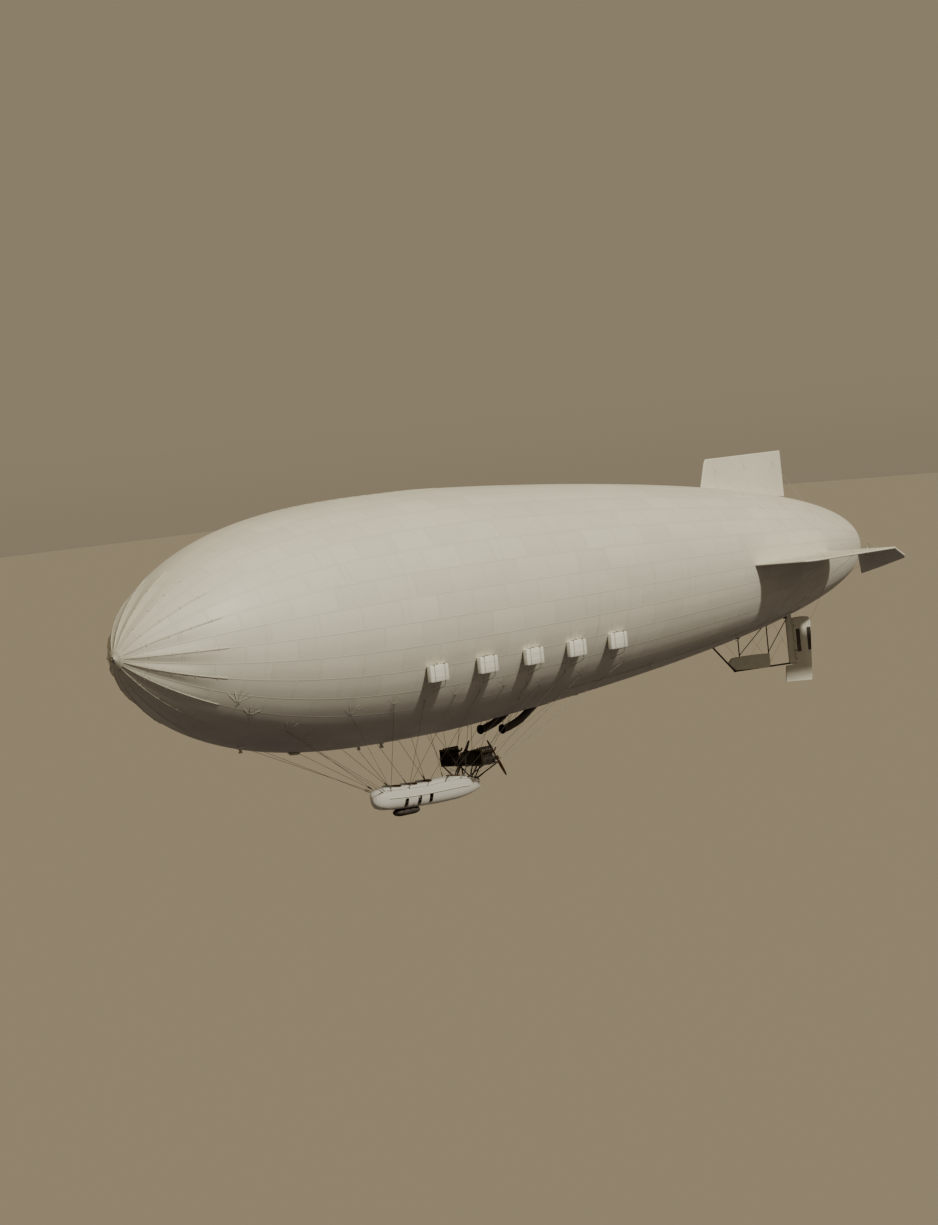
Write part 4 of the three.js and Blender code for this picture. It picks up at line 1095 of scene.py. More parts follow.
def make_belly_sleeves():
    """Tied-off filling sleeves, the small knobs under the belly."""
    kit = Kit()
    for station, y, size in ((7.4, 0.35, 1.0), (16.6, -0.4, 0.85), (18.2, -0.3, 1.1)):
        z = -sqrt(radius_at(station) ** 2 - y ** 2)
        rings = []
        for drop, radius in SLEEVE_ROWS:
            ring = []
            for turn in turns(36):
                pleat = 1 + 0.13 * sin(9 * turn) * smooth_step(0.02, 0.14, drop)
                r = radius * size * pleat
                ring.append((station + r * cos(turn), y + r * sin(turn), z - drop * size))
            rings.append(ring)
        kit.loft(rings)
        tie = [(station + 0.055 * size * cos(turn), y + 0.055 * size * sin(turn), z - 0.145 * size)
               for turn in turns(20)]
        kit.tube(tie, 0.014, 6, 1, loop=True)
    kit.build("belly_sleeves", ["fin", "webbing"], "envelope_fabric")


RIP_PANEL = {"front": 12.5, "length": 11.0, "half": 0.34}
GUIDE_STATIONS = [29.0 + 2.3 * k for k in range(11)]
GUIDE_DEGREES = 34


def make_hull_tapes():
    """Rip panel on top, two manhole rings, and rope guides along the flanks."""
    kit = Kit()
    front, length, half = (RIP_PANEL[key] for key in ("front", "length", "half"))
    stations = [front + length * k / 40 for k in range(41)]
    for offset in (-half, half):
        line = [(s, pi / 2 + offset / radius_at(s)) for s in stations]
        skin_strip(kit, line, 0.075, 0.007)
    for s in (front, front + length):
        line = [(s, pi / 2 + (-half + 2 * half * k / 6) / radius_at(s)) for k in range(7)]
        skin_strip(kit, line, 0.075, 0.009)
    for k in range(13):
        s = 12.9 + 0.85 * k
        line = [(s, pi / 2 + (-0.30 + 0.60 * j / 4) / radius_at(s)) for j in range(5)]
        skin_strip(kit, line, 0.02, 0.010, 1)
    for station, angle in ((29.5, radians(-80)), (40.0, radians(-98))):
        ring = []
        for turn in turns(40):
            around = angle + 0.40 * sin(turn) / radius_at(station)
            ring.append(on_skin(station + 0.40 * cos(turn), around, 0.006))
        kit.tube(ring, 0.022, 8, 0, loop=True)
    guide = [(0, 0.075), (0.015, 0.07), (0.02, 0.03), (0.05, 0.03), (0.055, 0.02)]
    for _, side in SIDES:
        for s in GUIDE_STATIONS:
            spot = on_skin(s, bottom_angle(GUIDE_DEGREES, side))
            out = Vector((0, spot.y, spot.z)).normalized()
            kit.spin(spot - out * 0.01, out, guide, 12)
    kit.build("hull_tapes", ["tape", "webbing"], "envelope_fabric")


# Car

CAR_ROWS = [
    # station, half width, gunwale z, keel z
    (16.84, 0.10, -9.22, -9.40),
    (16.92, 0.26, -9.08, -9.56),
    (17.15, 0.46, -8.92, -9.74),
    (17.60, 0.62, -8.84, -9.88),
    (18.80, 0.70, -8.90, -9.98),
    (20.30, 0.72, -8.95, -10.04),
    (21.80, 0.70, -8.93, -10.08),
    (23.00, 0.62, -8.96, -10.07),
    (24.10, 0.44, -9.12, -9.96),
    (24.98, 0.20, -9.32, -9.78),
]
CROWN = 0.13
CROWN_POWER = 3.2
SIDE_POWER, KEEL_POWER = 0.55, 0.85
HOLE_REACH = (-9.25, -8.5)
CAR_WALL = 0.03
FLOOR_Z = -9.72
BOW_Z = -9.31
COCKPITS = [
    # front station, rear station, half width
    (17.95, 18.85, 0.42),
    (19.28, 20.04, 0.42),
    (20.42, 21.16, 0.42),
    (22.80, 23.48, 0.34),
]
STEPS = (18.62, 19.60, 20.48)
STEP = {"length": 0.24, "bottom": -9.86, "top": -9.44}
DECK_NODES = ("fore_deck", "deck_panel_1", "deck_panel_2", "deck_panel_3", "aft_deck", "port_deck_side",
              "starboard_deck_side")


def car_shape(station):
    """Half width, gunwale and keel at a station, on a smooth line through the table."""
    rows = CAR_ROWS
    station = min(max(station, rows[0][0]), rows[-1][0])
    for i in range(len(rows) - 1):
        if station <= rows[i + 1][0]:
            break
    span = rows[i + 1][0] - rows[i][0]
    t = (station - rows[i][0]) / span
    out = []
    for c in (1, 2, 3):
        def slope(k):
            if k <= 0 or k >= len(rows) - 1:
                j = 0 if k <= 0 else len(rows) - 2
                return (rows[j + 1][c] - rows[j][c]) / (rows[j + 1][0] - rows[j][0])
            left = (rows[k][c] - rows[k - 1][c]) / (rows[k][0] - rows[k - 1][0])
            right = (rows[k + 1][c] - rows[k][c]) / (rows[k + 1][0] - rows[k][0])
            return 0.0 if left * right <= 0 else 2 * left * right / (left + right)
        a, b = slope(i) * span, slope(i + 1) * span
        p, q = rows[i][c], rows[i + 1][c]
        t2, t3 = t * t, t * t * t
        out.append(p * (2 * t3 - 3 * t2 + 1) + a * (t3 - 2 * t2 + t) + q * (3 * t2 - 2 * t3) + b * (t3 - t2))
    return out


def deck_height(station, y):
    half, gunwale, _ = car_shape(station)
    share = min(abs(y) / half, 1.0)
    return gunwale + CROWN * (1 - share ** CROWN_POWER)


def hull_point(station, turn, out=0.0):
    """Point on the car's side or bottom: turn runs from 0 at the port gunwale to pi at the other."""
    half, gunwale, keel = car_shape(station)
    share = max(min(turn, pi - turn), 0.0)
    y = copysign((half + out) * max(cos(share), 0.0) ** SIDE_POWER, cos(turn))
    return (station, y, gunwale - (gunwale - keel + out) * sin(share) ** KEEL_POWER)


def car_section(station, inset):
    """Points round one section, from the port gunwale under the keel and back over the deck."""
    under, over = 26, 18
    half, gunwale, _ = car_shape(station)
    half -= inset
    ring = [hull_point(station, pi * k / under, -inset) for k in range(under + 1)]
    for k in range(1, over):
        y = -half * cos(pi * k / over)
        share = abs(y) / max(half, 1e-6)
        ring.append((station, y, gunwale + (CROWN - inset) * (1 - share ** CROWN_POWER)))
    return ring


def car_stations(first, last, count=64):
    return [first + (last - first) * (1 - cos(pi * k / count)) / 2 for k in range(count + 1)]


def cut(target, tools):
    """Takes closed tools away from a piece."""
    for tool in tools:
        change = target.modifiers.new("cut", "BOOLEAN")
        change.operation = "DIFFERENCE"
        change.solver = "EXACT"
        change.object = tool
        bpy.context.view_layer.objects.active = target
        for other in bpy.context.selected_objects:
            other.select_set(False)
        target.select_set(True)
        bpy.ops.object.modifier_apply(modifier=change.name)
    for tool in tools:
        bpy.data.objects.remove(tool)


def loose(kit, name):
    """A cutting tool: a closed mesh that doesn't stay in the scene."""
    mesh = bpy.data.meshes.new(name)
    mesh.from_pydata([place(v) for v in kit.verts], [], kit.faces)
    mesh.materials.append(MAT["cream"])
    work = bmesh.new()
    work.from_mesh(mesh)
    bmesh.ops.recalc_face_normals(work, faces=work.faces)
    work.to_mesh(mesh)
    work.free()
    tool = bpy.data.objects.new(name, mesh)
    bpy.context.scene.collection.objects.link(tool)
    return tool


def oval(front, rear, half, grow=0.0, count=40):
    middle, reach = (front + rear) / 2, (rear - front) / 2 + grow
    return [(middle + reach * cos(turn), (half + grow) * sin(turn)) for turn in turns(count)]


def make_car():
    first, last = CAR_ROWS[0][0], CAR_ROWS[-1][0]
    outside, inside = Kit(), Kit()
    outside.loft([car_section(s, 0.0) for s in car_stations(first, last)])
    inside.loft([car_section(s, CAR_WALL) for s in car_stations(first + 0.04, last - 0.04)])
    shell = outside.build("car_shell", ["cream"], "car_paint", sharp=50,
                          stands_for=["car_hull", *DECK_NODES])
    tools = [loose(inside, "hollow")]
    for front, rear, half in COCKPITS:
        kit = Kit()
        kit.loft([[(s, y, z) for s, y in oval(front, rear, half)] for z in HOLE_REACH])
        tools.append(loose(kit, "hole"))
    for s in STEPS:
        for _, side in SIDES:
            kit = Kit()
            a, b = sorted((side * 0.3, side * 1.0))
            kit.block((s, a, STEP["bottom"]), (s + STEP["length"], b, STEP["top"]), 0.03)
            tools.append(loose(kit, "step"))
    cut(shell, tools)
    shell.data.shade_smooth()
    shell.data.set_sharp_from_angle(angle=radians(40))


def make_car_trim():
    kit = Kit()
    # coamings of padded leather
    for front, rear, half in COCKPITS:
        ring = [(s, y, deck_height(s, y) + 0.012) for s, y in oval(front, rear, half, 0.015, 56)]
        kit.tube(ring, 0.034, 10, 1, loop=True)
    # rubbing strakes along the gunwales, and seams along the sides
    for side in (1, -1):
        line = []
        for s in car_stations(17.0, 24.9, 40):
            half, gunwale, _ = car_shape(s)
            line.append((s, side * (half + 0.004), gunwale - 0.01))
        kit.tube(line, 0.020, 8)
        for share in (0.42, 0.80):
            turn = share * pi / 2 if side > 0 else pi - share * pi / 2
            kit.tube([hull_point(s, turn, -0.002) for s in car_stations(17.3, 24.6, 40)], 0.004, 6)
    # cross seams
    for s in (17.50, 18.35, 19.12, 20.22, 21.30, 21.95, 22.60, 23.60, 24.20):
        kit.tube([hull_point(s, pi * k / 24, -0.002) for k in range(25)], 0.005, 6)
    # rims of the step holes
    for s in STEPS:
        for side in (1, -1):
            rear, bottom, top = s + STEP["length"], STEP["bottom"], STEP["top"]
            ring = [(s, bottom), (rear, bottom), (rear, top), (s, top)]
            path = []
            for (s0, z0), (s1, z1) in zip(ring, ring[1:] + ring[:1]):
                for k in range(6):
                    u, z = s0 + (s1 - s0) * k / 6, z0 + (z1 - z0) * k / 6
                    _, gunwale, keel = car_shape(u)
                    turn = asin(min((gunwale - z) / (gunwale - keel), 0.999) ** (1 / KEEL_POWER))
                    path.append(hull_point(u, turn if side > 0 else pi - turn))
            kit.tube(path, 0.014, 6, 2, loop=True)
    # handling rails on both sides, just above the steps
    for side in (1, -1):
        turn = pi * (0.1125 if side > 0 else 0.8875)
        rail = [hull_point(s, turn, 0.03) for s in car_stations(17.5, 23.8, 30)]
        kit.tube(rail, 0.010, 8)
        for s, y, z in rail[2::6]:
            kit.tube([(s, y, z), (s, y - side * 0.05, z)], 0.008, 6)
    # tow ring on the bow
    kit.spin((16.88, 0, BOW_Z), FORWARD, [(0, 0.07), (0.02, 0.065), (0.03, 0.03)], 20, 2)
    eye = [(16.81 + 0.045 * cos(turn), 0, BOW_Z + 0.045 * sin(turn)) for turn in turns(20)]
    kit.tube(eye, 0.010, 8, 2, loop=True)
    # inner frames seen through the cockpits
    for s in (18.1, 18.9, 19.4, 20.15, 21.3, 22.1, 22.7, 23.6):
        hoop = [hull_point(s, pi * (0.04 + 0.92 * k / 20), -CAR_WALL - 0.012) for k in range(21)]
        kit.tube(hoop, 0.014, 6, 3)
    kit.build("car_trim", ["cream", "leather", "steel", "boards"], "car_paint")


def make_car_floor():
    kit = Kit()
    boards = 6
    width = 0.72 / boards
    for i in range(boards):
        y = -0.36 + i * width
        for s0, s1 in ((17.25, 19.30), (19.31, 21.60), (21.61, 23.55)):
            kit.block((s0, y + 0.004, FLOOR_Z - 0.028), (s1, y + width - 0.004, FLOOR_Z), 0.004)
    for s in (17.6, 18.5, 19.6, 20.6, 21.7, 22.8):
        kit.slab(s, s + 0.06, 0, 0.34, FLOOR_Z - 0.06, FLOOR_Z - 0.027, 0.004)
    kit.build("floor_planks", ["boards"], "floor_wood", stands_for=["car_floor"])


def cushion(kit, low, high, crown, tufts, face="z"):
    """A crowned pad: a rounded block swollen on one face, with pulled-in tufts."""
    lo, hi = Vector(low), Vector(high)
    rings = []
    a, b, c = {"z": (0, 1, 2), "s": (1, 2, 0)}[face]
    for k in range(-7, 8):
        level = k / 7
        shrink = (1 - abs(level) ** 4) ** 0.25 if abs(level) < 1 else 0.0
        shrink = 0.86 + 0.14 * shrink
        ring = []
        for turn in turns(40):
            cx, cy = cos(turn), sin(turn)
            square = max(abs(cx), abs(cy)) ** 0.72
            px, py = cx / square, cy / square
            p = [0.0, 0.0, 0.0]
            p[a] = (lo[a] + hi[a]) / 2 + px * (hi[a] - lo[a]) / 2 * shrink
            p[b] = (lo[b] + hi[b]) / 2 + py * (hi[b] - lo[b]) / 2 * shrink
            p[c] = (lo[c] + hi[c]) / 2 + level * (hi[c] - lo[c]) / 2
            ring.append(Vector(p))
        rings.append(ring)
    # close both faces with shrinking rings that rise into a crown
    def cap(ring, direction):
        middle = sum(ring, Vector()) / len(ring)
        out = []
        for share in (0.86, 0.68, 0.46, 0.22, 0.04):
            row = []
            for p in ring:
                q = middle + (p - middle) * share
                q[c] = ring[0][c] + direction * crown * (1 - share ** 2)
                for ta, tb in tufts:
                    away = hypot(q[a] - ta, q[b] - tb)
                    q[c] -= direction * crown * 1.1 * exp(-(away / 0.045) ** 2)
                row.append(q)
            out.append(row)
        return out
    under = cap(rings[0], -1 if face == "s" else -0.15)
    kit.loft(under[::-1] + rings + cap(rings[-1], 1 if face == "z" else 0.15))


SEAT = {"half": 0.24, "cushion": 0.26, "back": 0.62, "length": 0.41}


def make_seat(index, rear):
    base = Kit()
    front = rear - SEAT["length"]
    half = SEAT["half"]
    top = FLOOR_Z + SEAT["cushion"]
    base.slab(front, rear, 0, half, FLOOR_Z + 0.002, top - 0.10, 0.012)
    base.slab(rear - 0.035, rear, 0, half, FLOOR_Z + 0.002, FLOOR_Z + SEAT["back"], 0.012)
    for y in (-half + 0.03, half - 0.03):
        arm = [(front + 0.03, y, top - 0.05), (rear - 0.08, y, top + 0.10), (rear - 0.02, y, top + 0.13)]
        base.tube(arm, 0.012, 6, 1)
    base.build(f"seat_{index}_frame", ["boards", "steel"], "floor_wood", stands_for=[f"seat_{index}"])
    pad = Kit()
    tufts = [(front + 0.13, -0.09), (front + 0.13, 0.09), (front + 0.26, -0.09), (front + 0.26, 0.09)]
    cushion(pad, (front + 0.005, -half + 0.01, top - 0.10), (rear - 0.04, half - 0.01, top - 0.02), 0.020,
            tufts)
    piece = pad.build(f"seat_{index}_cushion", ["leather"], "seat_leather", sharp=80)
    rest = Kit()
    tufts = [(-0.09, top + 0.12), (0.09, top + 0.12), (-0.09, top + 0.24), (0.09, top + 0.24)]
    cushion(rest, (rear - 0.095, -half + 0.015, top + 0.01),
            (rear - 0.035, half - 0.015, FLOOR_Z + SEAT["back"] - 0.02), 0.016, tufts, face="s")
    piece = rest.build(f"seat_{index}_backrest", ["leather"], "seat_leather", sharp=80)


DIAL_Z = -9.055
DIALS = [
    # y, radius
    (-0.20, 0.052),
    (-0.06, 0.062),
    (0.08, 0.045),
    (0.21, 0.05),
]
LEVER_TOP = -9.13


def make_cockpit_fittings():
    kit = Kit()
    for index, (front, _, half) in enumerate(COCKPITS):
        board = front + 0.13
        top = -8.955 + (0.02 if index == 0 else -0.01)
        kit.block((board - 0.012, -half * 0.78, -9.18), (board + 0.012, half * 0.78, top), 0.008)
        for k, (y, size) in enumerate(DIALS):
            kit.spin((board + 0.01, y, DIAL_Z), AFT, [(0, size), (0.014, size), (0.018, size * 0.86)], 24, 2)
            kit.spin((board + 0.012, y, DIAL_Z), AFT, [(0, size * 0.84), (0.0165, size * 0.84)], 24, 3)
            needle = Vector((0, cos(k * 1.3 + 0.5), sin(k * 1.3 + 0.5))) * size * 0.6
            centre = Vector((board + 0.030, y, DIAL_Z))
            kit.tube([centre - needle * 0.2, centre + needle], 0.003, 4, 1)
        if index < 2:
            # control wheel on its column
            hub = Vector((front + 0.34, 0, -9.12))
            axis = Vector((0.86, 0, 0.5)).normalized()
            side = Vector(PORT)
            up = axis.cross(side)
            rim = [hub + (side * cos(turn) + up * sin(turn)) * 0.17 for turn in turns(40)]
            kit.tube(rim, 0.013, 8, 0, loop=True)
            for k in range(4):
                turn = pi / 2 * k + 0.4
                kit.tube([hub, hub + (side * cos(turn) + up * sin(turn)) * 0.168], 0.007, 6, 2)
            kit.tube([hub - axis * 0.30, hub + axis * 0.02], [0.02, 0.024], 10, 1)
            kit.tube([(front + 0.10, 0, FLOOR_Z + 0.01), hub - axis * 0.28], 0.022, 10, 1)
            for y in (-0.12, 0.12):
                kit.slab(front + 0.02, front + 0.05, y, 0.04, FLOOR_Z + 0.02, FLOOR_Z + 0.14, 0.008, 1)
        else:
            for k, y in enumerate((-0.27, -0.21, 0.22, 0.28)):
                lean = 0.05 * (k % 3)
                tip = (front + 0.20 + lean, y, LEVER_TOP)
                kit.tube([(front + 0.22, y, -9.40), tip], 0.008, 6, 2)
                kit.spin(tip, UP, [(-0.015, 0.008), (0.0, 0.02), (0.018, 0.016), (0.026, 0.004)], 12, 1)
            for near, far in ((-0.31, -0.17), (0.18, 0.32)):
                kit.block((front + 0.12, near, -9.50), (front + 0.32, far, -9.38), 0.01, 1)
    kit.build("cockpit_fittings", ["boards", "enamel", "brass", "dial"], "floor_wood")


SCREENS = [
    # foot station, foot z
    (17.79, -8.87),
    (19.12, -8.94),
    (20.26, -8.94),
]


def make_windscreen(index, foot, z):
    pane, trim = Kit(), Kit()
    half = 0.27
    base_z = deck_height(foot + 0.03, 0) + 0.005
    rise = z + 0.235 - base_z
    rows = []
    for k in range(9):
        share = k / 8
        s = foot + 0.03 + 0.12 * share
        width = half * (1 - 0.10 * share ** 3)
        low = base_z + rise * share
        ring = []
        for j in range(21):
            y = -width + 2 * width * j / 20
            back = 0.07 * (abs(y) / half) ** 2
            ring.append((s + back, y, max(low, deck_height(s + back, y) + 0.004)))
        rows.append(ring)
    thick = 0.008
    solid = [ring + [(s + thick, y, z) for s, y, z in reversed(ring)] for ring in rows]
    pane.loft(solid)
    trim.tube(rows[-1], 0.010, 8)
    trim.tube(rows[0], 0.012, 8)
    for j in (0, 10, 20):
        trim.tube([ring[j] for ring in rows], 0.009 if j != 10 else 0.006, 8)
    for y in (-0.2, 0.2):
        s = foot + 0.03
        brace = [(s - 0.10, y, deck_height(s - 0.10, y) - 0.005), (s + 0.07, y, base_z + rise * 0.7)]
        trim.tube(brace, 0.006, 6)
    trim.build(f"windscreen_{index}_trim", ["steel"], "steel_tube")
    pane.build(f"windscreen_{index}_pane", ["glass"], "windscreen_glass", stands_for=[f"windscreen_{index}"])


def make_bumper():
    """Air bag under the car: full between its lashings, gathered at both ends."""
    kit = Kit()
    first, last, middle = 18.35, 20.20, -10.16
    rows = [(0.0, 0.05), (0.02, 0.28), (0.05, 0.55), (0.10, 0.80), (0.18, 0.96), (0.30, 1.0), (0.5, 1.0),
            (0.7, 1.0), (0.82, 0.96), (0.90, 0.80), (0.95, 0.55), (0.98, 0.28), (1.0, 0.05)]
    rings = []
    count = 64
    for k in range(count + 1):
        share = k / count
        size = lerp_table(rows, share)
        lash = 1.0
        for at in (0.25, 0.5, 0.75):
            lash -= 0.07 * exp(-((share - at) / 0.022) ** 2)
        s = first + (last - first) * share
        ring = []
        for turn in turns(44):
            gather = 1 + 0.05 * sin(11 * turn) * (1 - smooth_step(0.0, 0.16, min(share, 1 - share)))
            r = size * lash * gather
            y = 0.355 * r * cos(turn)
            z = middle + 0.205 * r * sin(turn)
            _, _, keel = car_shape(s)
            limit = keel + 0.004 + 0.10 * (y / 0.36) ** 2
            ring.append((s, y, min(z, limit)))
        rings.append(ring)
    kit.loft(rings)
    piece = kit.build("bumper_bag_canvas", ["bag"], "bumper_rubber", sharp=70, stands_for=["bumper_bag"])
    straps = Kit()
    for at in (0.25, 0.5, 0.75):
        s = first + (last - first) * at
        half, _, keel = car_shape(s)
        path = []
        for k in range(25):
            turn = radians(-200 + 220 * k / 24)
            path.append((s, 0.345 * cos(turn), middle + 0.197 * sin(turn)))
        lead = [(s, side * (half * 0.88), keel + 0.22) for side in (-1, 1)]
        path = [p for p in path if p[2] < keel + 0.02]
        straps.tube([lead[0], *path, lead[1]], 0.022, 8, 0, flat=0.35)
    straps.build("bumper_straps", ["canvas"], "bumper_rubber")


# Power group

ENGINE = {"front": 24.02, "rear": 25.06, "y": 1.20, "axis": -8.20}
RADIATOR = {"front": 23.86, "rear": 23.96, "top": -7.62}
MANIFOLD_Z = -7.78
BEARER_Z = -8.42
BEARER_RADIUS = 0.04
BEARER_TOP = BEARER_Z + BEARER_RADIUS
PROPELLER = {"station": 25.36, "radius": 1.10, "lean": 31}
BEARER_ENDS = (23.80, 25.16)
CROSS_STATIONS = (23.95, 24.50, 25.12)
BEARER_SIDES = (0.30, 1.03, 1.37)
LEGS = [
    # upper station, y; lower station, y on the deck
    (23.95, 1.45, 23.75, 0.47),
    (25.12, 1.45, 24.75, 0.20),
    (23.95, 0.30, 23.60, 0.30),
    (25.12, 0.30, 24.65, 0.18),
    (24.50, 0.60, 24.25, 0.30),
]


def make_engine_mount():
    kit = Kit()
    joints = []
    for s in CROSS_STATIONS:
        kit.tube([(s, y, BEARER_Z) for y in (-1.50, 1.50)], BEARER_RADIUS, 14)
    for side in (1, -1):
        for y in BEARER_SIDES:
            kit.tube([(s, side * y, BEARER_Z) for s in BEARER_ENDS], BEARER_RADIUS, 14)
            joints += [(s, side * y) for s in CROSS_STATIONS]
        for upper, out, lower, y in LEGS:
            top = Vector((upper, side * out, BEARER_Z))
            foot = Vector((lower, side * y, deck_height(lower, y)))
            kit.tube([top, top.lerp(foot, 0.15), top.lerp(foot, 0.5), top.lerp(foot, 0.85), foot],
                     [0.024, 0.030, 0.034, 0.030, 0.024], 12, 0)
            kit.spin(foot, UP, [(-0.02, 0.075), (0.012, 0.075), (0.02, 0.045), (0.06, 0.036)], 16)
            bolt_circle(kit, foot + Vector((0, 0, 0.012)), UP, 0.058, 4, 0.010, 1)
        # diagonal wires between the legs
        for (u0, o0, l0, y0), (u1, o1, l1, y1) in ((LEGS[0], LEGS[1]), (LEGS[2], LEGS[3])):
            kit.tube([(u0, side * o0, BEARER_Z), (l1, side * y1, deck_height(l1, y1))], 0.006, 5, 1)
            kit.tube([(u1, side * o1, BEARER_Z), (l0, side * y0, deck_height(l0, y0))], 0.006, 5, 1)
    for s, y in joints:
        kit.spin((s, y, BEARER_Z - 0.055), UP, [(0, 0.03), (0.008, 0.052), (0.10, 0.052), (0.11, 0.03)], 14)
    kit.build("engine_frame_tubes", ["enamel", "cable"], "steel_tube", stands_for=["engine_mount"])


# turned parts of an engine, as rows of (distance along the axis, radius)
BARREL = [(0.0, 0.078), (0.018, 0.078), (0.020, 0.060), (0.05, 0.060), (0.055, 0.072), (0.075, 0.074),
          *((0.075 + 0.012 * k, 0.074 + (0.003 if k % 2 else 0)) for k in range(1, 22)),
          (0.345, 0.073), (0.37, 0.068), (0.405, 0.058), (0.43, 0.045)]
SPRING = [(0, 0.018), (0.012, 0.014), (0.02, 0.018), (0.032, 0.014), (0.04, 0.018), (0.05, 0.008),
          (0.075, 0.008)]
PLUG = [(0, 0.014), (0.018, 0.014), (0.02, 0.008), (0.05, 0.007)]
CAM_DRIVE = [(0, 0.05), (0.05, 0.05), (0.06, 0.026), (0.52, 0.026), (0.54, 0.045), (0.62, 0.045)]
MAGNETO = [(0, 0.045), (0.08, 0.045), (0.10, 0.035), (0.12, 0.02)]
CARBURETTOR = [(0, 0.03), (0.05, 0.03), (0.06, 0.05), (0.14, 0.05), (0.15, 0.03), (0.20, 0.028),
               (0.23, 0.045)]
SHAFT_BEARING = [(0, 0.115), (0.03, 0.115), (0.05, 0.09), (0.13, 0.075), (0.16, 0.06)]


def make_engine(label, side):
    kit = Kit()
    y = side * ENGINE["y"]
    front, rear, axis = ENGINE["front"], ENGINE["rear"], ENGINE["axis"]
    # crankcase: lower and upper halves, with a bolted flange at the shaft line
    def case(rows):
        kit.loft([[(s, y + dy * half, z0 + (z1 - z0) * t) for dy, t in
                   ((1, 0.25), (1, 1), (0.6, 1), (-0.6, 1), (-1, 1), (-1, 0.25), (-0.55, 0), (0.55, 0))]
                  for s, half, z0, z1 in rows])
    low = BEARER_TOP + 0.012
    case([(front + 0.02, 0.10, low + 0.06, axis - 0.01), (front + 0.06, 0.15, low, axis - 0.01),
          (rear - 0.06, 0.15, low, axis - 0.01), (rear - 0.02, 0.10, low + 0.06, axis - 0.01)])
    case([(front, 0.10, axis - 0.01, axis + 0.13), (front + 0.05, 0.155, axis - 0.01, axis + 0.15),
          (rear - 0.05, 0.155, axis - 0.01, axis + 0.15), (rear, 0.10, axis - 0.01, axis + 0.13)])
    kit.slab(front + 0.02, rear - 0.02, y, 0.20, axis - 0.025, axis + 0.012, 0.008)
    for k in range(9):
        s = front + 0.08 + (rear - front - 0.16) * k / 8
        for out in (-0.18, 0.18):
            kit.spin((s, y + out, axis + 0.010), UP, [(0, 0.013), (0.016, 0.013), (0.02, 0.008)], 6, 1)
        if k % 2 == 0:
            for out in (-1, 1):
                kit.slab(s - 0.014, s + 0.014, y + out * 0.12, 0.05, low + 0.03, axis, 0.006)
    # feet on the bearers
    for s in (front + 0.10, rear - 0.16):
        for out in (-1, 1):
            kit.slab(s, s + 0.10, y + out * 0.17, 0.05, BEARER_TOP + 0.001, axis - 0.02, 0.008)
            kit.spin((s + 0.05, y + out * 0.185, BEARER_TOP + 0.03), UP,
                     [(0, 0.016), (0.02, 0.016), (0.026, 0.01)], 6, 1)
    count, inset = 6, 0.10
    pitch = (rear - front - 2 * inset) / (count - 1)
    base = axis + 0.14
    for i in range(count):
        s = front + inset + i * pitch
        kit.spin((s, y, base), UP, BARREL, 20)
        bolt_circle(kit, (s, y, base + 0.018), UP, 0.069, 8, 0.006, 1)
        # exhaust stub and intake stub
        stub = [(s, y + 0.06, base + 0.33), (s, y + 0.11, base + 0.34), (s + 0.02, y + 0.16, base + 0.29)]
        kit.tube(curve_through(stub, 4), 0.026, 10, 2)
        stub = [(s, y - 0.05, base + 0.31), (s, y - 0.11, base + 0.32), (s - 0.01, y - 0.15, base + 0.26)]
        kit.tube(curve_through(stub, 4), 0.021, 10)
        # valve stems, springs and rockers
        for out in (-0.045, 0.045):
            kit.spin((s, y + out, base + 0.40), UP, SPRING, 10, 1)
            kit.block((s - 0.012, y + min(out, 0) - 0.005, base + 0.468),
                      (s + 0.012, y + max(out, 0) + 0.005, base + 0.488), 0.005, 1)
        # spark plugs and leads
        for out in (-1, 1):
            kit.spin((s + 0.03, y + out * 0.078, base + 0.24), (0, out, 0.2), PLUG, 6, 3)
        lead = [(s + 0.03, y - 0.13, base + 0.25), (s + 0.04, y - 0.13, base + 0.18),
                (s + 0.06, y - 0.10, base + 0.13)]
        kit.tube(curve_through(lead, 3), 0.006, 5, 3)
    # camshaft casing and its covers
    kit.slab(front + 0.02, rear - 0.02, y, 0.042, base + 0.478, base + 0.545, 0.02)
    for i in range(count):
        s = front + inset + i * pitch
        kit.slab(s - 0.048, s + 0.048, y, 0.052, base + 0.49, base + 0.565, 0.016)
    # upright drive to the camshaft, and magnetos
    kit.spin((front, y, axis + 0.02), UP, CAM_DRIVE, 14)
    for out in (-1, 1):
        kit.spin((front + 0.03, y + out * 0.11, axis + 0.17), (0, out, 0), MAGNETO, 16, 3)
    # manifolds
    pipe = [(front + 0.10, y + 0.16, MANIFOLD_Z), (rear - 0.10, y + 0.16, MANIFOLD_Z),
            (rear + 0.02, y + 0.17, MANIFOLD_Z + 0.04), (rear + 0.08, y + 0.20, MANIFOLD_Z + 0.16)]
    kit.tube(curve_through(pipe, 6), 0.040, 14, 2)
    kit.tube([(s, y - 0.15, MANIFOLD_Z - 0.02) for s in (front + 0.20, rear - 0.20)], 0.034, 12)
    for s in (front + 0.34, rear - 0.34):
        kit.spin((s, y - 0.15, MANIFOLD_Z - 0.05), DOWN, CARBURETTOR, 14, 4)
    # water pipe over the cylinders and down to the pump
    water = [(front + 0.08, y + 0.045, base + 0.455), (rear - 0.08, y + 0.045, base + 0.455)]
    kit.tube(water, 0.017, 10, 4)
    drop = [water[1], (rear, y + 0.05, base + 0.40), (rear + 0.02, y + 0.08, base + 0.1),
            (rear - 0.02, y + 0.13, axis - 0.02)]
    kit.tube(curve_through(drop, 5), 0.015, 8, 4)
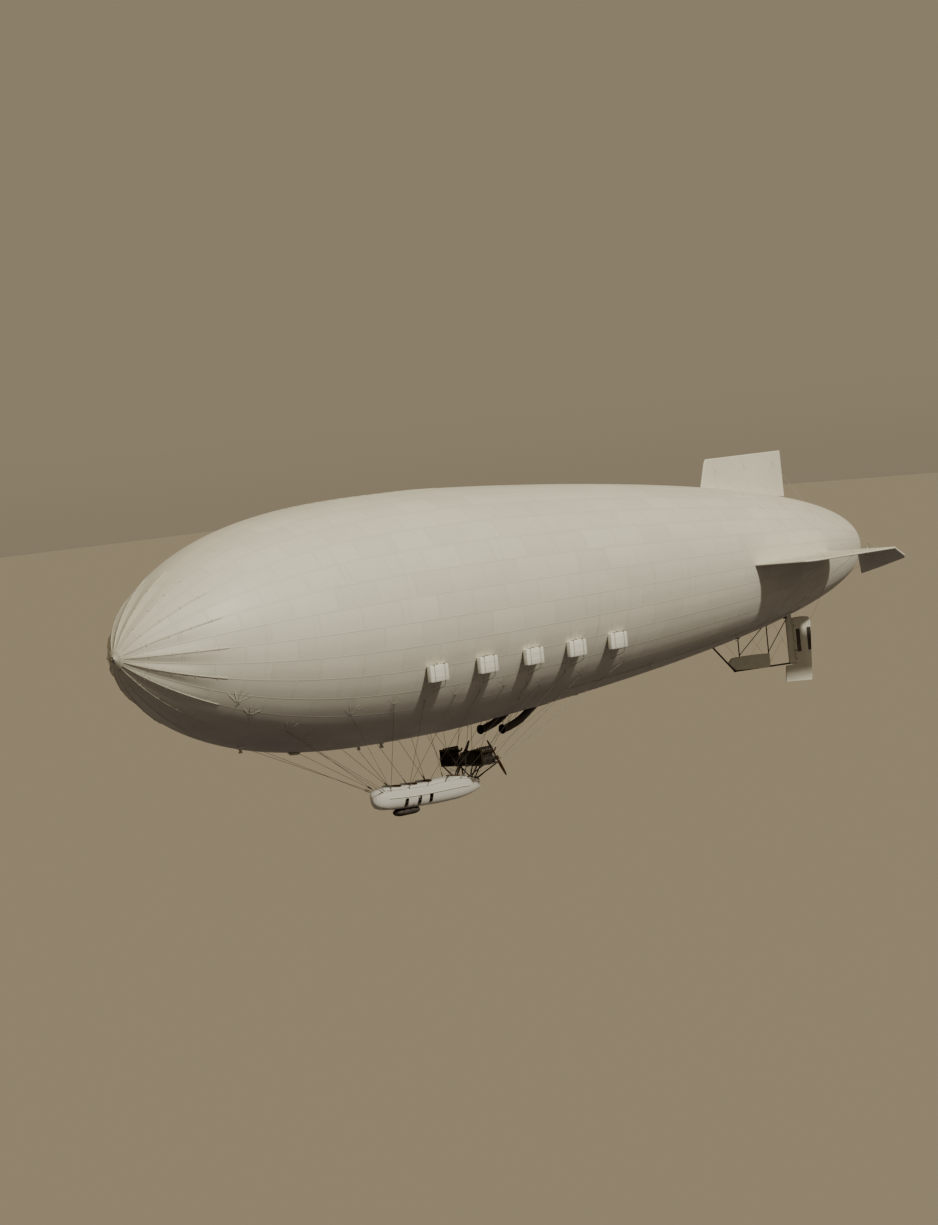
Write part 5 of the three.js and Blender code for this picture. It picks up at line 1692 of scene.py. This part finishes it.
    # rear bearing and the propeller shaft
    kit.spin((rear - 0.02, y, axis), AFT, SHAFT_BEARING, 24)
    bolt_circle(kit, (rear + 0.01, y, axis), AFT, 0.098, 8, 0.009, 1)
    shaft = [(0, 0.030), (PROPELLER["station"] + 0.045 - rear - 0.1, 0.030)]
    kit.spin((rear + 0.1, y, axis), AFT, shaft, 20, 1)
    kit.build(f"{label}_engine_detail", ["iron", "steel", "exhaust", "black", "brass"], "engine_metal",
              stands_for=[f"{label}_engine"])


def make_radiator(label, side):
    kit = Kit()
    y = side * ENGINE["y"]
    front, rear = RADIATOR["front"], RADIATOR["rear"]
    middle = (front + rear) / 2
    low, high = BEARER_TOP + 0.002, RADIATOR["top"]
    kit.slab(front + 0.015, rear - 0.015, y, 0.245, low + 0.045, high - 0.02, 0.004, 1)
    for out in (-1, 1):
        kit.slab(front - 0.005, rear + 0.005, y + out * 0.257, 0.016, low, high, 0.008)
    kit.slab(front - 0.015, rear + 0.015, y, 0.27, low, low + 0.06, 0.02)
    kit.slab(front - 0.025, rear + 0.025, y, 0.285, high - 0.05, high + 0.055, 0.03)
    for k in range(1, 20):
        across = y - 0.245 + 0.49 * k / 20
        kit.slab(front + 0.005, rear - 0.005, across, 0.0018, low + 0.06, high - 0.05, 0.0008)
    for k in range(1, 11):
        z = low + 0.06 + (high - 0.11 - low) * k / 11
        kit.tube([(front + 0.002, y - 0.245, z), (front + 0.002, y + 0.245, z)], 0.004, 5)
    cap = [(0, 0.05), (0.02, 0.05), (0.022, 0.036), (0.055, 0.036), (0.06, 0.044), (0.075, 0.044),
           (0.085, 0.02)]
    kit.spin((middle, y, high + 0.05), UP, cap, 18)
    for across, first, last in ((0.05, high + 0.01, -7.60), (-0.06, low + 0.03, low + 0.045)):
        hose = [(rear, y + across, first), (rear + 0.04, y + across, first + 0.004),
                (ENGINE["front"] + 0.03, y + across, last)]
        kit.tube(curve_through(hose, 5), 0.026, 12, 2)
    kit.build(f"{label}_radiator_detail", ["brass", "core", "black"], "radiator_brass",
              stands_for=[f"{label}_radiator"])


BLADE_ROWS = [
    # share of the radius, chord, thickness
    (0.00, 0.100, 0.095),
    (0.08, 0.100, 0.092),
    (0.12, 0.112, 0.075),
    (0.20, 0.138, 0.064),
    (0.30, 0.160, 0.056),
    (0.50, 0.172, 0.046),
    (0.70, 0.152, 0.036),
    (0.88, 0.112, 0.026),
    (0.96, 0.078, 0.019),
    (0.99, 0.045, 0.014),
    (1.00, 0.015, 0.006),
]


def make_propeller(label, side):
    kit = Kit()
    station, radius = PROPELLER["station"], PROPELLER["radius"]
    chords = [(share, chord) for share, chord, _ in BLADE_ROWS]
    thicks = [(share, thick) for share, _, thick in BLADE_ROWS]
    shares = sorted(set([round(0.02 * k, 3) for k in range(51)] + [0.97, 0.99, 0.995]))
    for sign in (1, -1):
        rings = []
        for share in shares:
            reach = share * radius
            chord, thick = lerp_table(chords, share), lerp_table(thicks, share)
            twist = atan(0.62 / (2 * pi * max(reach, 0.14))) * -side * sign
            ring = []
            for turn in turns(24):
                along = cos(turn) * chord / 2
                across = sin(turn) * thick / 2 * (1.0 if sin(turn) > 0 else 0.45)
                ring.append((station + along * sin(twist) + across * cos(twist),
                             along * cos(twist) - across * sin(twist), sign * reach))
            rings.append(ring)
        base = len(kit.faces)
        kit.loft(rings)
        # brass sheathing over the outer part of the blade
        for r, share in enumerate(shares[:-1]):
            for i in range(24):
                edge = 8 < i < 15 if sign * side > 0 else i < 3 or i > 20
                if share > 0.80 or share > 0.55 and edge:
                    kit.marks[base + r * 24 + i] = 1
    hub = [(-0.075, 0.035), (-0.074, 0.105), (-0.060, 0.112), (0.060, 0.112), (0.074, 0.105), (0.075, 0.035)]
    kit.spin((station, 0, 0), AFT, hub, 32)
    plate = [(0, 0.098), (0.010, 0.098), (0.013, 0.090)]
    for face in (-1, 1):
        kit.spin((station + face * 0.070, 0, 0), (face, 0, 0), plate, 32, 2)
        bolt_circle(kit, (station + face * 0.080, 0, 0), (face, 0, 0), 0.072, 8, 0.011, 2)
    kit.spin((station + 0.08, 0, 0), AFT, [(0, 0.04), (0.03, 0.04), (0.05, 0.028), (0.06, 0.01)], 20, 2)
    lean = radians(side * PROPELLER["lean"])

    def settle(p):
        s, y, z = p
        return Vector((s, y * cos(lean) - z * sin(lean) + side * ENGINE["y"],
                       y * sin(lean) + z * cos(lean) + ENGINE["axis"]))

    kit.move(settle)
    kit.build(f"{label}_propeller_blades", ["propeller", "brass", "steel"], "propeller_wood",
              body=f"{label}_propeller", stands_for=[f"{label}_propeller"])


SERVICE_TANK = {"front": 23.98, "rear": 25.02, "z": -8.02, "radius": 0.30, "cap": 24.4,
                "cradles": (24.10, 24.76)}


def make_service_tank():
    kit = Kit()
    front, rear, z, radius = (SERVICE_TANK[key] for key in ("front", "rear", "z", "radius"))
    middle, reach = (front + rear) / 2, (rear - front) / 2
    end = [(0.0, 0.02), (0.002, 0.12), (0.015, 0.20), (0.04, 0.26), (0.08, 0.295), (0.10, 0.300)]
    body = [(d - reach, r) for d, r in end] + [(reach - d, r) for d, r in reversed(end)]
    kit.spin((middle, 0, z), AFT, body, 40)
    for s in (*(s + 0.06 for s in SERVICE_TANK["cradles"]), middle):
        band = [(0, radius - 0.002), (0.002, radius + 0.006), (0.058, radius + 0.006),
                (0.06, radius - 0.002)]
        kit.spin((s - 0.03, 0, z), AFT, band, 40, 1)
    for s in SERVICE_TANK["cradles"]:
        rings = []
        for ds in (0.0, 0.12):
            arc = []
            for degrees in range(-62, 63, 8):
                a = radians(degrees)
                arc.append((s + ds, radius * sin(a), z - (radius + 0.002) * cos(a)))
            rings.append([(s + ds, -0.33, BEARER_TOP + 0.002), *arc, (s + ds, 0.33, BEARER_TOP + 0.002)])
        kit.loft(rings)
    cap = [(0, 0.075), (0.03, 0.075), (0.032, 0.055), (0.07, 0.055), (0.078, 0.03)]
    kit.spin((SERVICE_TANK["cap"], 0, z + radius - 0.015), UP, cap, 20, 1)
    for out in (-1, 1):
        feed = [(front, out * 0.12, -8.1), (front - 0.07, out * 0.3, -8.12),
                (front - 0.05, out * 0.75, -8.20), (front + 0.06, out * 1.04, -8.22)]
        drain = [(rear - 0.07, out * 0.1, -8.16), (rear + 0.03, out * 0.3, -8.24),
                 (rear - 0.02, out * 0.7, -8.28), (rear - 0.12, out * 1.02, -8.25)]
        kit.tube(curve_through(feed, 6), 0.014, 8, 1)
        kit.tube(curve_through(drain, 6), 0.012, 8, 1)
    kit.build("service_tank_shell", ["iron", "brass"], "engine_metal", stands_for=["service_tank"])


# Suspension

MAIN_STAYS = [
    # lower station, y, z, upper station, degrees up from the bottom
    (17.60, 0.64, -8.86, 14.0, 50),
    (18.90, 0.72, -8.91, 18.5, 50),
    (21.70, 0.72, -8.94, 22.3, 50),
    (24.50, 1.46, BEARER_Z + BEARER_RADIUS + 0.05, 27.5, 50),
]
OTHER_STAYS = [
    (17.15, 0.46, -8.94, 4.7, 50),
    (17.30, 0.51, -8.90, 8.1, 33),
    (17.60, 0.64, -8.86, 11.3, 46),
    (18.90, 0.72, -8.91, 16.2, 50),
    (20.30, 0.73, -8.96, 20.4, 50),
    (21.70, 0.72, -8.94, 24.4, 48),
    (23.00, 0.63, -8.97, 25.8, 44),
    (23.95, 1.46, BEARER_Z + 0.03, 24.6, 38),
    (25.12, 1.46, BEARER_Z + 0.03, 29.3, 44),
    (25.10, 0.30, BEARER_Z + 0.03, 26.4, 12),
    (23.86, 0.30, BEARER_Z + 0.03, 23.2, 12),
    (24.80, 0.24, -9.25, 33.0, 46),
]


def finger_patch(kit, station, degrees, side, fingers=5, reach=0.70, mark=1):
    """Fan of cloth fingers that spreads a stay's pull into the envelope."""
    centre = bottom_angle(degrees, side)
    r = radius_at(station)
    for k in range(fingers):
        turn = radians(-52 + 104 * k / (fingers - 1))
        line = []
        for j in range(7):
            out = 0.06 + reach * j / 6 * (1 - 0.12 * abs(turn))
            line.append((station + out * sin(turn), centre + side * out * cos(turn) / r))
        skin_strip(kit, line, 0.045, 0.003, mark, [0.7, 0.8, 0.9, 1.0, 1.1, 1.15, 0.7])
    binding = [(station + aft, centre + side * out / r)
               for aft, out in ((-0.16, 0.08), (0, 0.03), (0.16, 0.08))]
    skin_strip(kit, binding, 0.05, 0.007, mark)


def make_suspension(label, side):
    kit = Kit()
    for s, y, z, upper, degrees in MAIN_STAYS + OTHER_STAYS:
        angle = bottom_angle(degrees, side)
        top = on_skin(upper, angle, 0.045)
        foot = Vector((s, side * y, z + 0.05))
        way = (top - foot).normalized()
        finger_patch(kit, upper, degrees, side, 5 if degrees > 20 else 3, 0.70 if degrees > 20 else 0.45)
        kit.tube([foot, top], 0.0085, 6)
        # turnbuckle, shackle and ring
        kit.tube([foot + way * d for d in (0.05, 0.09, 0.12, 0.30, 0.33, 0.37)],
                 [0.010, 0.019, 0.022, 0.022, 0.019, 0.010], 8, 2)
        eye = [(0, 0.034), (0.012, 0.034), (0.02, 0.02), (0.07, 0.016)]
        kit.spin(foot - Vector((0, 0, 0.06)), UP, eye, 12, 2)
        loop = []
        for turn in turns(16):
            loop.append(top + way * (0.03 * cos(turn) - 0.02) + Vector((0.030 * sin(turn), 0, 0)))
        kit.tube(loop, 0.008, 6, 2, loop=True)
        out = Vector((0, cos(angle), sin(angle)))
        staple = [top + Vector((ds, 0, 0)) + way * -0.01 for ds in (-0.03, 0.03)]
        ends = [top + Vector((ds, 0, 0)) - out * 0.03 for ds in (-0.05, 0.05)]
        kit.tube([ends[0], *staple, ends[1]], 0.008, 6, 2)
    # control lines along the belly to the tail, through their guides
    path = [Vector((23.2, side * 0.45, -8.95))]
    path += [on_skin(s, bottom_angle(GUIDE_DEGREES, side), 0.045) for s in GUIDE_STATIONS]
    kit.tube(path, 0.007, 5)
    names = [f"{label}_stay_{i + 1}" for i in range(4)]
    kit.build(f"{label}_suspension", ["cable", "tape", "steel"], "steel_cable", stands_for=names)


def make_handling_ropes():
    """Coiled ropes low on both sides, and patches where they start."""
    kit = Kit()
    for _, side in SIDES:
        for station, degrees in ((5.6, 42), (9.6, 30), (36.5, 34), (45.5, 30)):
            finger_patch(kit, station, degrees, side, 4, 0.55, 0)
            spot = on_skin(station, bottom_angle(degrees, side), 0.05)
            coil = []
            for k in range(61):
                turn = 2 * pi * k / 20
                drop = -0.12 + 0.09 * sin(turn) - 0.012 * k / 20
                coil.append(spot + Vector((0.10 * cos(turn), 0.05 * sin(turn) * side, drop)))
            kit.tube(coil, 0.009, 6, 1)
    kit.build("handling_ropes", ["tape", "canvas"], "steel_cable")


make_camera()
make_studio()
make_materials()
make_envelope()
make_nose()
make_upper_fin()
for label, side in SIDES:
    make_stabiliser(label, side)
    make_elevator(label, side)
make_lower_fin()
make_rudder()
make_fin_wires()
for label, side in SIDES:
    for number in range(TANK["count"]):
        make_tank(label, side, number)
    make_scoop(label, side)
for valve, station in VALVES:
    make_valve(valve, station)
make_belly_sleeves()
make_hull_tapes()
make_car()
make_car_trim()
make_car_floor()
for number, (_, cockpit_rear, _) in enumerate(COCKPITS):
    make_seat(number + 1, cockpit_rear - 0.03)
make_cockpit_fittings()
for number, (screen_foot, screen_z) in enumerate(SCREENS):
    make_windscreen(number + 1, screen_foot, screen_z)
make_bumper()
make_engine_mount()
for label, side in SIDES:
    make_engine(label, side)
    make_radiator(label, side)
    make_propeller(label, side)
make_service_tank()
for label, side in SIDES:
    make_suspension(label, side)
make_handling_ropes()
